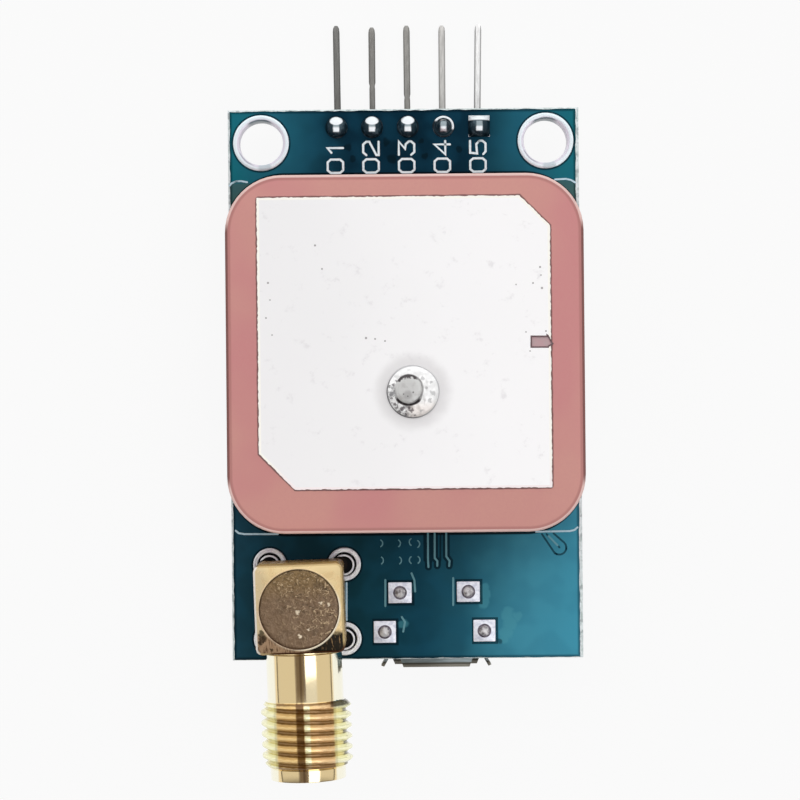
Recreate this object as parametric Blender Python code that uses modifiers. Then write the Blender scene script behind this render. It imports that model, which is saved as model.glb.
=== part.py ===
# GPS receiver module: a board with a ceramic patch antenna, a threaded coaxial jack, a micro
# USB socket and a five-pin header. Metres, +Z up. The antenna faces up, the header points to
# +Y and the two sockets to -Y. Sizes below are in the board's own frame, whose origin is the
# centre of the board's back face.

import math

import bmesh
import bpy
from mathutils import Matrix, Vector

MM = 0.001

# Clearances: between faces that rest on each other, and round what passes through a hole
SEAT = 0.02 * MM
FIT = 0.03 * MM
WELD = 0.001 * MM

# Turns, and the one that lays a piece turned about Z along the board, out of its -Y edge
QUARTER_TURN = math.pi / 2
AXIS_FORWARD = (QUARTER_TURN, 0, 0)

# Segments of a full circle
FINE = 32
MEDIUM = 24
COARSE = 16
SMALL = 12

# Fillets of solder: height of the waist and the rim over the whole height, and the width at
# the top over the lead's
SOLDER_WAIST = 0.45
SOLDER_RIM = 0.08
LEAD_WETTING = 1.3

# Circuit board, as wide as the antenna, with a strip for the header and one for the sockets
BOARD_WIDTH = 25.0 * MM
BOARD_THICKNESS = 1.6 * MM
ANTENNA_SIZE = BOARD_WIDTH
HEADER_STRIP = 5.0 * MM
SOCKET_STRIP = 9.2 * MM
BOARD_LENGTH = HEADER_STRIP + ANTENNA_SIZE + SOCKET_STRIP

# Plated mounting holes in the two corners beside the header
MOUNT_HOLE_DIAMETER = 3.2 * MM
MOUNT_RING_DIAMETER = 4.0 * MM
MOUNT_INSET = 2.25 * MM
PLATING_THICKNESS = 0.06 * MM

# Patch antenna: adhesive pad, ceramic block and silver electrode
ANTENNA_HEIGHT = 4.0 * MM
ANTENNA_CORNER_RADIUS = 4.0 * MM
ANTENNA_CORNER_STEPS = 8
ANTENNA_RIM_BEVEL = 0.2 * MM
ANTENNA_Y = BOARD_LENGTH / 2 - HEADER_STRIP - ANTENNA_SIZE / 2
TAPE_THICKNESS = 0.3 * MM
TAPE_INSET = 0.6 * MM
ELECTRODE_MARGIN_X = 2.3 * MM
ELECTRODE_MARGIN_Y = 2.33 * MM
ELECTRODE_WIDTH = ANTENNA_SIZE - 2 * ELECTRODE_MARGIN_X
ELECTRODE_LENGTH = ANTENNA_SIZE - 2 * ELECTRODE_MARGIN_Y
ELECTRODE_OFFSET_Y = 0.75 * MM
ELECTRODE_THICKNESS = 0.05 * MM
ELECTRODE_CUT_RIGHT = 2.1 * MM
ELECTRODE_CUT_LEFT = 2.5 * MM
TRIM_LENGTH = 1.35 * MM
TRIM_WIDTH = 0.7 * MM
TRIM_MARGIN = 0.2 * MM
TRIM_TAIL_WIDTH = 0.2 * MM
TRIM_OFFSET_Y = 0.1 * MM

# Feed pin through the antenna and the board
FEED_X = 0.35 * MM
FEED_OFFSET_Y = -2.5 * MM
FEED_HEAD_DIAMETER = 1.9 * MM
FEED_HEAD_HEIGHT = 0.5 * MM
FEED_HEAD_CROWN = ((0.0, 1.0), (0.5, 0.92), (0.85, 0.7), (1.0, 0.4))
FEED_SHANK_DIAMETER = 0.9 * MM
FEED_BORE_DIAMETER = 1.3 * MM
FEED_TAIL = 0.6 * MM
FEED_SOLDER_DIAMETER = 3.6 * MM
FEED_SOLDER_HEIGHT = 0.32 * MM
FEED_SOLDER_EDGE = 0.1 * MM
FEED_SOLDER_SHOULDER = 0.85
FEED_SOLDER_SLOPE = 0.5
FEED_SOLDER_SHIFT_X = 0.25 * MM
FEED_SOLDER_SHIFT_Y = -0.08 * MM
FEED_BACK_SOLDER_DIAMETER = 2.2 * MM
FEED_BACK_SOLDER_HEIGHT = 0.5 * MM

# Five-pin header: a plastic base on the back, pins bent outwards beyond it
PIN_PITCH = 2.54 * MM
PIN_SIZE = 0.5 * MM
PIN_TAPER = 0.55
PIN_TAPER_LENGTH = 0.5 * MM
PIN_TAIL = 0.85 * MM
PIN_REACH = 6.5 * MM
PIN_REACH_SPREAD = 0.1 * MM
PIN_REACH_ERRORS = (0.6, -0.8, 0.3, 0.2, 0.8)
PIN_BEND_RADIUS = 0.7 * MM
PIN_BEND_STEPS = 5
PIN_HOLE_DIAMETER = 1.0 * MM
HEADER_X = 0.33 * MM
HEADER_INSET = 1.02 * MM
HEADER_BASE_WIDTH = 2.5 * MM
HEADER_BASE_HEIGHT = 2.0 * MM
HEADER_CORNER_CUT = 0.45 * MM
PIN_SOLDER_DIAMETER = 1.5 * MM
PIN_SOLDER_HEIGHT = 0.6 * MM
PIN_SOLDER_TOP_DIAMETER = 1.18 * MM
PIN_PAD_SIZE = 1.55 * MM
PAD_THICKNESS = 0.06 * MM

# Right-angle coaxial jack: its legs stand in four holes with some play, and the jack was
# soldered a little turned and shifted in them
JACK_SIDE_INSET = 5.32 * MM
JACK_X = JACK_SIDE_INSET - BOARD_WIDTH / 2
JACK_INSET = 4.16 * MM
JACK_SHIFT_X = -0.22 * MM
JACK_SHIFT_Y = -0.1 * MM
JACK_TURN = math.radians(1.7)
JACK_LEG_SPACING = 5.08 * MM
JACK_LEG_DIAMETER = 0.95 * MM
JACK_LEG_LENGTH = 3.1 * MM
JACK_LEG_HOLE_DIAMETER = 1.7 * MM
JACK_PAD_DIAMETER = 2.4 * MM
JACK_BLOCK_SIZE = 6.3 * MM
JACK_BLOCK_HEIGHT = 6.3 * MM
JACK_CORNER_RADIUS = 0.35 * MM
JACK_RIM_BEVEL = 0.12 * MM
JACK_AXIS_HEIGHT = 3.23 * MM
JACK_FLOOR = 1.2 * MM
JACK_CAVITY_DIAMETER = 4.6 * MM
CAP_DIAMETER = 5.45 * MM
CAP_THICKNESS = 0.5 * MM
CAP_CROWN = 0.06 * MM
CAP_EDGE_BEVEL = 0.12 * MM

# Barrel of the jack, measured from the block's front face
SPIGOT_DIAMETER = 4.9 * MM
SPIGOT_LENGTH = 1.2 * MM
NECK_DIAMETER = 5.35 * MM
NECK_LENGTH = 3.35 * MM
THREAD_DIAMETER = 6.35 * MM
THREAD_LENGTH = 4.55 * MM
THREAD_CHAMFER = 0.4 * MM
NOSE_DIAMETER = 5.3 * MM
NOSE_LENGTH = 0.95 * MM
NOSE_CHAMFER = 0.06 * MM
MOUTH_DIAMETER = 4.6 * MM
MOUTH_DEPTH = 1.9 * MM
DIELECTRIC_DIAMETER = 4.1 * MM

# Centre contact of the jack: a socket along the barrel, bent down into the board
CONTACT_DIAMETER = 1.27 * MM
CONTACT_BORE_DIAMETER = 0.93 * MM
CONTACT_BORE_DEPTH = 2.4 * MM
CONTACT_PIN_DIAMETER = 0.8 * MM
CONTACT_HOLE_DIAMETER = 1.5 * MM
BUSH_DIAMETER = 2.2 * MM
LEG_SOLDER_DIAMETER = 2.2 * MM
LEG_SOLDER_HEIGHT = 1.0 * MM
CONTACT_SOLDER_DIAMETER = 1.8 * MM
CONTACT_SOLDER_HEIGHT = 0.8 * MM

# Micro USB socket under the board: folded shell with a narrow side against the board
JACK_USB_SPACING = 9.13 * MM
USB_X = JACK_X + JACK_USB_SPACING
USB_LENGTH = 5.0 * MM
USB_WIDTH = 7.5 * MM
USB_NARROW_WIDTH = 6.1 * MM
USB_HEIGHT = 2.55 * MM
USB_SLANT_DEPTH = 0.9 * MM
USB_CORNER_CUT = 0.3 * MM
USB_SHEET = 0.25 * MM
USB_LIP_LENGTH = 0.8 * MM
USB_LIP_FLARE = 0.4 * MM
USB_BOARD_LIP_FLARE = 0.2 * MM
USB_LIP_NARROWING = 0.9
USB_WINDOW_X = 1.75 * MM
USB_WINDOW_WIDTH = 0.9 * MM
USB_WINDOW_LENGTH = 1.7 * MM
USB_WINDOW_INSET = 1.0 * MM
USB_EDGE_CLEARANCE = 0.05 * MM
USB_FRONT_LEG_X = 3.58 * MM
USB_FRONT_LEG_INSET = 1.93 * MM
USB_REAR_LEG_X = 2.44 * MM
USB_REAR_LEG_INSET = 4.7 * MM
USB_LEG_WIDTH = 0.6 * MM
USB_LEG_HOLE_DIAMETER = 1.1 * MM
USB_LEG_DEPTH = 0.15 * MM
USB_PAD_SIZE = 1.6 * MM
USB_SOLDER_HEIGHT = 0.25 * MM
USB_SOLDER_CROWN = ((0.0, 1.0), (0.6, 0.8))

# Plastic tongue and contacts inside the USB shell
TONGUE_BASE_LENGTH = 1.2 * MM
TONGUE_WIDTH = 3.7 * MM
TONGUE_THICKNESS = 0.65 * MM
TONGUE_RECESS = 0.6 * MM
TONGUE_DROP = 1.35 * MM
USB_CONTACT_COUNT = 5
USB_CONTACT_PITCH = 0.65 * MM
USB_CONTACT_WIDTH = 0.3 * MM
USB_CONTACT_THICKNESS = 0.15 * MM
USB_CONTACT_TIP_INSET = 0.35 * MM
USB_TAIL_GAP = 0.35 * MM
USB_TAIL_FOOT = 0.8 * MM

# Satellite receiver: its own board with notched edges, under a metal can. The small chips
# stand in the margins beside it
RECEIVER_INSET = 10.9 * MM
RECEIVER_Y = BOARD_LENGTH / 2 - RECEIVER_INSET
RECEIVER_MARGIN = 4.5 * MM
RECEIVER_WIDTH = BOARD_WIDTH - 2 * RECEIVER_MARGIN
RECEIVER_DEPTH = 12.2 * MM
RECEIVER_BOARD_THICKNESS = 0.8 * MM
RECEIVER_NOTCHES = 12
RECEIVER_NOTCH_MARGIN = 1.95 * MM
RECEIVER_NOTCH_PITCH = (RECEIVER_WIDTH - 2 * RECEIVER_NOTCH_MARGIN) / (RECEIVER_NOTCHES - 1)
RECEIVER_NOTCH_RADIUS = 0.28 * MM
RECEIVER_NOTCH_STEPS = 3
CAN_MARGIN = 0.9 * MM
CAN_HEIGHT = 1.6 * MM
CAN_CORNER_RADIUS = 0.6 * MM
CAN_RIM_BEVEL = 0.15 * MM

# Backup cell with two welded tabs
CELL_SIDE_INSET = 5.1 * MM
CELL_INSET = 13.2 * MM
CELL_X = BOARD_WIDTH / 2 - CELL_SIDE_INSET
CELL_Y = CELL_INSET - BOARD_LENGTH / 2
CELL_DIAMETER = 6.8 * MM
CELL_HEIGHT = 1.8 * MM
CELL_LID_DIAMETER = 5.4 * MM
CELL_LID_HEIGHT = 0.5 * MM
CELL_EDGE_BEVEL = 0.12 * MM
TAB_WIDTH = 2.0 * MM
TAB_THICKNESS = 0.15 * MM
TAB_GAP = 0.4 * MM
TAB_FOOT = 1.1 * MM

# Moulded chips with bent leads, whose rows are given in steps of the lead pitch
CHIP_LEAD_THICKNESS = 0.2 * MM
CHIP_STANDOFF = 0.12 * MM
CHIP_EDGE_BEVEL = 0.12 * MM
MEMORY_SIDE_INSET = 5.1 * MM
MEMORY_INSET = 14.2 * MM
MEMORY_X = MEMORY_SIDE_INSET - BOARD_WIDTH / 2
MEMORY_Y = MEMORY_INSET - BOARD_LENGTH / 2
MEMORY_WIDTH = 3.9 * MM
MEMORY_DEPTH = 4.9 * MM
MEMORY_HEIGHT = 1.4 * MM
MEMORY_LEAD_SPAN = 6.0 * MM
MEMORY_LEAD_WIDTH = 0.42 * MM
MEMORY_LEAD_PITCH = 1.27 * MM
MEMORY_LEAD_ROWS = ((-1.5, -0.5, 0.5, 1.5), (-1.5, -0.5, 0.5, 1.5))
REGULATOR_X = 0.3 * MM
REGULATOR_INSET = 10.2 * MM
REGULATOR_Y = REGULATOR_INSET - BOARD_LENGTH / 2
REGULATOR_WIDTH = 1.6 * MM
REGULATOR_DEPTH = 2.9 * MM
REGULATOR_HEIGHT = 1.1 * MM
REGULATOR_LEAD_SPAN = 2.8 * MM
REGULATOR_LEAD_WIDTH = 0.4 * MM
REGULATOR_LEAD_PITCH = 0.95 * MM
REGULATOR_LEAD_ROWS = ((-1, 0, 1), (-1, 1))

# Chip resistors, capacitors and the status light, with the centre of each
SMALL_CHIP_LENGTH = 1.6 * MM
SMALL_CHIP_WIDTH = 0.8 * MM
SMALL_CHIP_HEIGHT = 0.5 * MM
SMALL_CHIP_TERMINAL = 0.32 * MM
SMALL_CHIP_STEP = 0.04 * MM
SMALL_CHIP_SPACING = 3.2 * MM
SIDE_CHIP_INSET = 2.1 * MM
SIDE_CHIP_X = BOARD_WIDTH / 2 - SIDE_CHIP_INSET
SIDE_CHIP_OFFSET_Y = 3.9 * MM
SIDE_CHIP_Y = RECEIVER_Y + SIDE_CHIP_OFFSET_Y
NEXT_CHIP_Y = SIDE_CHIP_Y - SMALL_CHIP_SPACING
SMALL_CHIPS = {
    "status_led": (-SIDE_CHIP_X, SIDE_CHIP_Y, "led_resin"),
    "resistor_1": (-SIDE_CHIP_X, NEXT_CHIP_Y, "resistor_body"),
    "resistor_2": (SIDE_CHIP_X, NEXT_CHIP_Y, "resistor_body"),
    "capacitor_1": (SIDE_CHIP_X, SIDE_CHIP_Y, "capacitor_body"),
    "capacitor_2": (REGULATOR_X + SMALL_CHIP_SPACING, REGULATOR_Y, "capacitor_body"),
    "capacitor_3": (REGULATOR_X - SMALL_CHIP_SPACING, REGULATOR_Y, "capacitor_body"),
}

# Base colour, roughness and metallic value of each material
MATERIALS = {
    "solder_mask": ((0.012, 0.075, 0.11), 0.35, 0.0),
    "tinned_copper": ((0.78, 0.79, 0.8), 0.3, 1.0),
    "solder": ((0.7, 0.71, 0.72), 0.28, 1.0),
    "ceramic": ((0.6, 0.27, 0.25), 0.55, 0.0),
    "silver": ((0.9, 0.89, 0.9), 0.35, 0.9),
    "adhesive": ((0.82, 0.8, 0.74), 0.8, 0.0),
    "black_plastic": ((0.02, 0.02, 0.022), 0.5, 0.0),
    "pin_metal": ((0.55, 0.55, 0.54), 0.3, 1.0),
    "gold": ((0.9, 0.68, 0.33), 0.18, 1.0),
    "tarnished_gold": ((0.24, 0.15, 0.08), 0.4, 0.8),
    "fluoropolymer": ((0.9, 0.9, 0.88), 0.5, 0.0),
    "steel": ((0.6, 0.6, 0.58), 0.3, 1.0),
    "can_metal": ((0.66, 0.66, 0.65), 0.35, 1.0),
    "receiver_laminate": ((0.02, 0.09, 0.05), 0.45, 0.0),
    "moulding": ((0.025, 0.025, 0.027), 0.6, 0.0),
    "led_resin": ((0.8, 0.76, 0.6), 0.3, 0.0),
    "resistor_body": ((0.03, 0.03, 0.035), 0.4, 0.0),
    "capacitor_body": ((0.42, 0.27, 0.16), 0.5, 0.0),
}

SHARP_ANGLE = math.radians(32)

# Heights and places that follow from the sizes above
FRONT = BOARD_THICKNESS
HALF_LENGTH = BOARD_LENGTH / 2
TAPE_BOTTOM = FRONT + SEAT
CERAMIC_BOTTOM = TAPE_BOTTOM + TAPE_THICKNESS + SEAT
CERAMIC_TOP = CERAMIC_BOTTOM + ANTENNA_HEIGHT
ELECTRODE_BOTTOM = CERAMIC_TOP + SEAT
ELECTRODE_TOP = ELECTRODE_BOTTOM + ELECTRODE_THICKNESS
FEED_Y = ANTENNA_Y + FEED_OFFSET_Y
HEADER_Y = HALF_LENGTH - HEADER_INSET
HEADER_BASE_BOTTOM = -(SEAT + HEADER_BASE_HEIGHT)
PIN_RUN_Z = HEADER_BASE_BOTTOM - PIN_BEND_RADIUS
PIN_COUNT = len(PIN_REACH_ERRORS)
PIN_XS = [HEADER_X + (i - (PIN_COUNT - 1) / 2) * PIN_PITCH for i in range(PIN_COUNT)]
MOUNT_XS = {
    "left": -(BOARD_WIDTH / 2 - MOUNT_INSET),
    "right": BOARD_WIDTH / 2 - MOUNT_INSET,
}
MOUNT_Y = HALF_LENGTH - MOUNT_INSET
JACK_Y = -HALF_LENGTH + JACK_INSET
BLOCK_FRONT = JACK_BLOCK_SIZE / 2
BARREL_LENGTH = NECK_LENGTH + THREAD_LENGTH + NOSE_LENGTH
BARREL_START = BLOCK_FRONT + SEAT
MOUTH_FLOOR = BARREL_START + BARREL_LENGTH - MOUTH_DEPTH
USB_TOP = -SEAT
USB_BOTTOM = USB_TOP - USB_HEIGHT
USB_FRONT = -(HALF_LENGTH + USB_EDGE_CLEARANCE)
USB_REAR = USB_FRONT + USB_LENGTH
CONTACT_PLANE = -TONGUE_DROP
REST_HEIGHT = max(USB_LIP_FLARE - USB_BOTTOM, PIN_SIZE / 2 - PIN_RUN_Z)


def corner_signs():
    return [(x, y) for y in (1, -1) for x in (-1, 1)]


def jack_legs():
    # Leg places in the jack's frame, which are the hole places when the jack sits true
    half = JACK_LEG_SPACING / 2
    return [(x * half, y * half) for x, y in corner_signs()]


def usb_legs():
    rear = -HALF_LENGTH + USB_REAR_LEG_INSET
    front = -HALF_LENGTH + USB_FRONT_LEG_INSET
    return [
        (USB_X - USB_REAR_LEG_X, rear),
        (USB_X + USB_REAR_LEG_X, rear),
        (USB_X - USB_FRONT_LEG_X, front),
        (USB_X + USB_FRONT_LEG_X, front),
    ]


# Scene, collections and materials


def clear_scene():
    for obj in list(bpy.data.objects):
        bpy.data.objects.remove(obj, do_unlink=True)


def make_collection(name):
    collection = bpy.data.collections.new(name)
    bpy.context.scene.collection.children.link(collection)
    return collection


def make_material(name):
    color, roughness, metallic = MATERIALS[name]
    material = bpy.data.materials.new(name)
    material.use_nodes = True
    material.diffuse_color = (*color, 1.0)
    shader = material.node_tree.nodes["Principled BSDF"]
    shader.inputs["Base Color"].default_value = (*color, 1.0)
    shader.inputs["Roughness"].default_value = roughness
    shader.inputs["Metallic"].default_value = metallic
    return material


def make_frame(name, parent=None, location=(0, 0, 0), turn=0.0):
    frame = bpy.data.objects.new(name, None)
    bpy.context.scene.collection.objects.link(frame)
    frame.parent = parent
    frame.location = location
    frame.rotation_euler.z = turn
    return frame


def place(name, mesh, collection, parent, location, rotation):
    obj = bpy.data.objects.new(name, mesh)
    collection.objects.link(obj)
    obj.parent = parent
    obj.location = location
    obj.rotation_euler = rotation
    return obj


def part(name, mesh, slot, parent, location=(0, 0, 0), rotation=(0, 0, 0)):
    obj = place(name, mesh, bpy.data.collections["gps_module"], parent, location, rotation)
    mesh.materials.clear()
    mesh.materials.append(bpy.data.materials.get(slot) or make_material(slot))
    return obj


def cutter(name, mesh, parent, location=(0, 0, 0), rotation=(0, 0, 0)):
    obj = place(name, mesh, bpy.data.collections["cutters"], parent, location, rotation)
    obj.hide_render = True
    obj.display_type = "WIRE"
    return obj


def combine(obj, others, operation):
    for other in others:
        modifier = obj.modifiers.new(other.name, "BOOLEAN")
        modifier.operation = operation
        modifier.object = other


def cut(obj, *cutters):
    combine(obj, cutters, "DIFFERENCE")


def join(obj, *pieces):
    combine(obj, pieces, "UNION")


def apply_modifiers(obj):
    mesh = evaluated_mesh(obj)
    obj.modifiers.clear()
    obj.data = mesh


# Mesh builders


def evaluated_mesh(obj):
    bpy.context.view_layer.update()
    graph = bpy.context.evaluated_depsgraph_get()
    return bpy.data.meshes.new_from_object(obj.evaluated_get(graph))


def mesh_of(source):
    # The mesh that a helper object evaluates to, with its loose caps welded
    bpy.context.scene.collection.objects.link(source)
    mesh = evaluated_mesh(source)
    bpy.data.objects.remove(source, do_unlink=True)
    bm = bmesh.new()
    bm.from_mesh(mesh)
    bmesh.ops.remove_doubles(bm, verts=bm.verts, dist=WELD)
    bmesh.ops.recalc_face_normals(bm, faces=bm.faces)
    bm.to_mesh(mesh)
    bm.free()
    return mesh


def finished(bm, name):
    mesh = bpy.data.meshes.new(name)
    bm.to_mesh(mesh)
    bm.free()
    return mesh


def block(width, depth, low, high, corner_radius=0.0, corner_segments=4, rim_bevel=0.0):
    # A box about the Z axis, with rounded upright edges and bevelled rims
    bm = bmesh.new()
    bmesh.ops.create_cube(bm, size=1.0)
    bmesh.ops.scale(bm, vec=(width, depth, high - low), verts=bm.verts)
    bmesh.ops.translate(bm, vec=(0, 0, (low + high) / 2), verts=bm.verts)
    if corner_radius:
        upright = [e for e in bm.edges if abs(e.verts[0].co.z - e.verts[1].co.z) > WELD]
        bmesh.ops.bevel(
            bm, geom=upright, offset=corner_radius, segments=corner_segments, profile=0.5,
            affect="EDGES",
        )
    if rim_bevel:
        rims = [e for e in bm.edges if abs(e.verts[0].co.z - e.verts[1].co.z) < WELD]
        bmesh.ops.bevel(
            bm, geom=rims, offset=rim_bevel, segments=1, profile=0.5, affect="EDGES"
        )
    return finished(bm, "block")


def rod(diameter, low, high, segments):
    bm = bmesh.new()
    bmesh.ops.create_cone(
        bm, cap_ends=True, segments=segments, radius1=diameter / 2, radius2=diameter / 2,
        depth=high - low, matrix=Matrix.Translation((0, 0, (low + high) / 2)),
    )
    return finished(bm, "rod")


def turned(profile, segments, closed=False):
    # A profile of (radius, height) points that runs down its outer side, turned about Z
    mesh = bpy.data.meshes.new("profile")
    count = len(profile)
    edges = [(i, (i + 1) % count) for i in range(count if closed else count - 1)]
    mesh.from_pydata([(radius, 0, height) for radius, height in profile], edges, [])
    source = bpy.data.objects.new("profile", mesh)
    screw = source.modifiers.new("Screw", "SCREW")
    screw.steps = segments
    screw.render_steps = segments
    screw.use_merge_vertices = True
    screw.merge_threshold = WELD
    return mesh_of(source)


def solder_cone(diameter, height, top_diameter, segments=SMALL):
    # A concave fillet of solder that rises from its pad to the lead
    middle = (diameter + 2 * top_diameter) / 6
    profile = [
        (0, height),
        (top_diameter / 2, height),
        (middle, height * SOLDER_WAIST),
        (diameter / 2, height * SOLDER_RIM),
        (diameter / 2, 0),
        (0, 0),
    ]
    return turned(profile, segments)


def plate(loops, low, high):
    # Closed loops of (x, y) points filled as one flat outline, inner loops being holes
    curve = bpy.data.curves.new("outline", "CURVE")
    curve.dimensions = "2D"
    curve.fill_mode = "BOTH"
    curve.extrude = (high - low) / 2
    for loop in loops:
        spline = curve.splines.new("POLY")
        spline.points.add(len(loop) - 1)
        for point, (x, y) in zip(spline.points, loop):
            point.co = (x, y, 0, 1)
        spline.use_cyclic_u = True
    mesh = mesh_of(bpy.data.objects.new("outline", curve))
    mesh.transform(Matrix.Translation((0, 0, (low + high) / 2)))
    return mesh


def bar(points, width, thickness, radii=None):
    # A bar of rectangular section swept along points in the YZ plane, width along X
    section = bpy.data.curves.new("section", "CURVE")
    section.dimensions = "2D"
    outline = section.splines.new("POLY")
    outline.points.add(3)
    corners = [(-1, -1), (1, -1), (1, 1), (-1, 1)]
    for point, (x, y) in zip(outline.points, corners):
        point.co = (x * width / 2, y * thickness / 2, 0, 1)
    outline.use_cyclic_u = True
    profile = bpy.data.objects.new("section", section)
    path = bpy.data.curves.new("path", "CURVE")
    path.dimensions = "3D"
    path.twist_mode = "MINIMUM"
    path.bevel_mode = "OBJECT"
    path.bevel_object = profile
    path.use_fill_caps = True
    spline = path.splines.new("POLY")
    spline.points.add(len(points) - 1)
    for point, (y, z), radius in zip(spline.points, points, radii or [1.0] * len(points)):
        point.co = (0, y, z, 1)
        point.radius = radius
    mesh = mesh_of(bpy.data.objects.new("path", path))
    bpy.data.objects.remove(profile, do_unlink=True)
    return mesh


def circle(x, y, diameter, segments):
    turns = [2 * math.pi * i / segments for i in range(segments)]
    return [
        (x + diameter / 2 * math.cos(turn), y + diameter / 2 * math.sin(turn)) for turn in turns
    ]


def rectangle(x, y, width, depth):
    signs = ((-1, -1), (1, -1), (1, 1), (-1, 1))
    return [(x + sx * width / 2, y + sy * depth / 2) for sx, sy in signs]


def inset(loop, distance):
    # A clockwise convex loop with each of its sides moved inwards
    moved = []
    for index, point in enumerate(loop):
        corner = Vector(point)
        before = (corner - Vector(loop[index - 1])).normalized()
        after = (Vector(loop[(index + 1) % len(loop)]) - corner).normalized()
        inward = Vector((before.y + after.y, -before.x - after.x)).normalized()
        side = Vector((after.y, -after.x))
        moved.append(corner + inward * distance / inward.dot(side))
    return moved


# Board and mounting rings


def build_board(frame):
    loops = [rectangle(0, 0, BOARD_WIDTH, BOARD_LENGTH)]
    mount_drill = MOUNT_HOLE_DIAMETER + 2 * (PLATING_THICKNESS + SEAT)
    loops += [circle(x, MOUNT_Y, mount_drill, MEDIUM) for x in MOUNT_XS.values()]
    loops += [circle(x, HEADER_Y, PIN_HOLE_DIAMETER, SMALL) for x in PIN_XS]
    loops += [
        circle(JACK_X + x, JACK_Y + y, JACK_LEG_HOLE_DIAMETER, COARSE) for x, y in jack_legs()
    ]
    loops.append(circle(JACK_X, JACK_Y, CONTACT_HOLE_DIAMETER, SMALL))
    loops += [circle(x, y, USB_LEG_HOLE_DIAMETER, SMALL) for x, y in usb_legs()]
    loops.append(circle(FEED_X, FEED_Y, FEED_BORE_DIAMETER, SMALL))
    part("circuit_board", plate(loops, 0, BOARD_THICKNESS), "solder_mask", frame)


def build_mount_rings(frame):
    # A flanged liner through the board, as the plating of the hole and its two lands
    bore = MOUNT_HOLE_DIAMETER / 2
    land = MOUNT_RING_DIAMETER / 2
    inner = FRONT + SEAT
    outer = inner + PLATING_THICKNESS
    profile = [
        (bore, outer),
        (land, outer),
        (land, inner),
        (bore + PLATING_THICKNESS, inner),
        (bore + PLATING_THICKNESS, -SEAT),
        (land, -SEAT),
        (land, -SEAT - PLATING_THICKNESS),
        (bore, -SEAT - PLATING_THICKNESS),
    ]
    mesh = turned(profile, MEDIUM, closed=True)
    for side, x in MOUNT_XS.items():
        part(f"mount_ring_{side}", mesh, "tinned_copper", frame, (x, MOUNT_Y, 0))


# Patch antenna and its feed


def electrode_outline():
    half_width = ELECTRODE_WIDTH / 2
    half_length = ELECTRODE_LENGTH / 2
    notch_low = TRIM_OFFSET_Y - TRIM_WIDTH / 2
    notch_high = TRIM_OFFSET_Y + TRIM_WIDTH / 2
    tail_low = TRIM_OFFSET_Y - TRIM_TAIL_WIDTH / 2
    tail_high = TRIM_OFFSET_Y + TRIM_TAIL_WIDTH / 2
    notch_right = half_width - TRIM_MARGIN
    notch_left = notch_right - TRIM_LENGTH
    points = [
        (-half_width, half_length),
        (-half_width, -half_length + ELECTRODE_CUT_LEFT),
        (-half_width + ELECTRODE_CUT_LEFT, -half_length),
        (half_width, -half_length),
        (half_width, tail_low),
        (notch_right, tail_low),
        (notch_right, notch_low),
        (notch_left, notch_low),
        (notch_left, notch_high),
        (notch_right, notch_high),
        (notch_right, tail_high),
        (half_width, tail_high),
        (half_width, half_length - ELECTRODE_CUT_RIGHT),
        (half_width - ELECTRODE_CUT_RIGHT, half_length),
    ]
    return [(x, y + ANTENNA_Y + ELECTRODE_OFFSET_Y) for x, y in points]


def build_antenna(frame):
    centre = (0, ANTENNA_Y, 0)
    tape_size = ANTENNA_SIZE - 2 * TAPE_INSET
    pad = block(
        tape_size, tape_size, TAPE_BOTTOM, TAPE_BOTTOM + TAPE_THICKNESS,
        corner_radius=ANTENNA_CORNER_RADIUS - TAPE_INSET, corner_segments=ANTENNA_CORNER_STEPS,
    )
    tape = part("antenna_tape", pad, "adhesive", frame, centre)
    body = block(
        ANTENNA_SIZE, ANTENNA_SIZE, CERAMIC_BOTTOM, CERAMIC_TOP,
        corner_radius=ANTENNA_CORNER_RADIUS, corner_segments=ANTENNA_CORNER_STEPS,
        rim_bevel=ANTENNA_RIM_BEVEL,
    )
    ceramic = part("antenna_ceramic", body, "ceramic", frame, centre)
    rod_through = rod(FEED_BORE_DIAMETER, FRONT, CERAMIC_TOP + FEED_HEAD_HEIGHT, SMALL)
    drill = cutter("feed_drill", rod_through, frame, (FEED_X, FEED_Y, 0))
    cut(tape, drill)
    cut(ceramic, drill)
    bore = circle(FEED_X, FEED_Y, FEED_BORE_DIAMETER, SMALL)
    silver = [electrode_outline(), bore]
    part("antenna_electrode", plate(silver, ELECTRODE_BOTTOM, ELECTRODE_TOP), "silver", frame)


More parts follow.
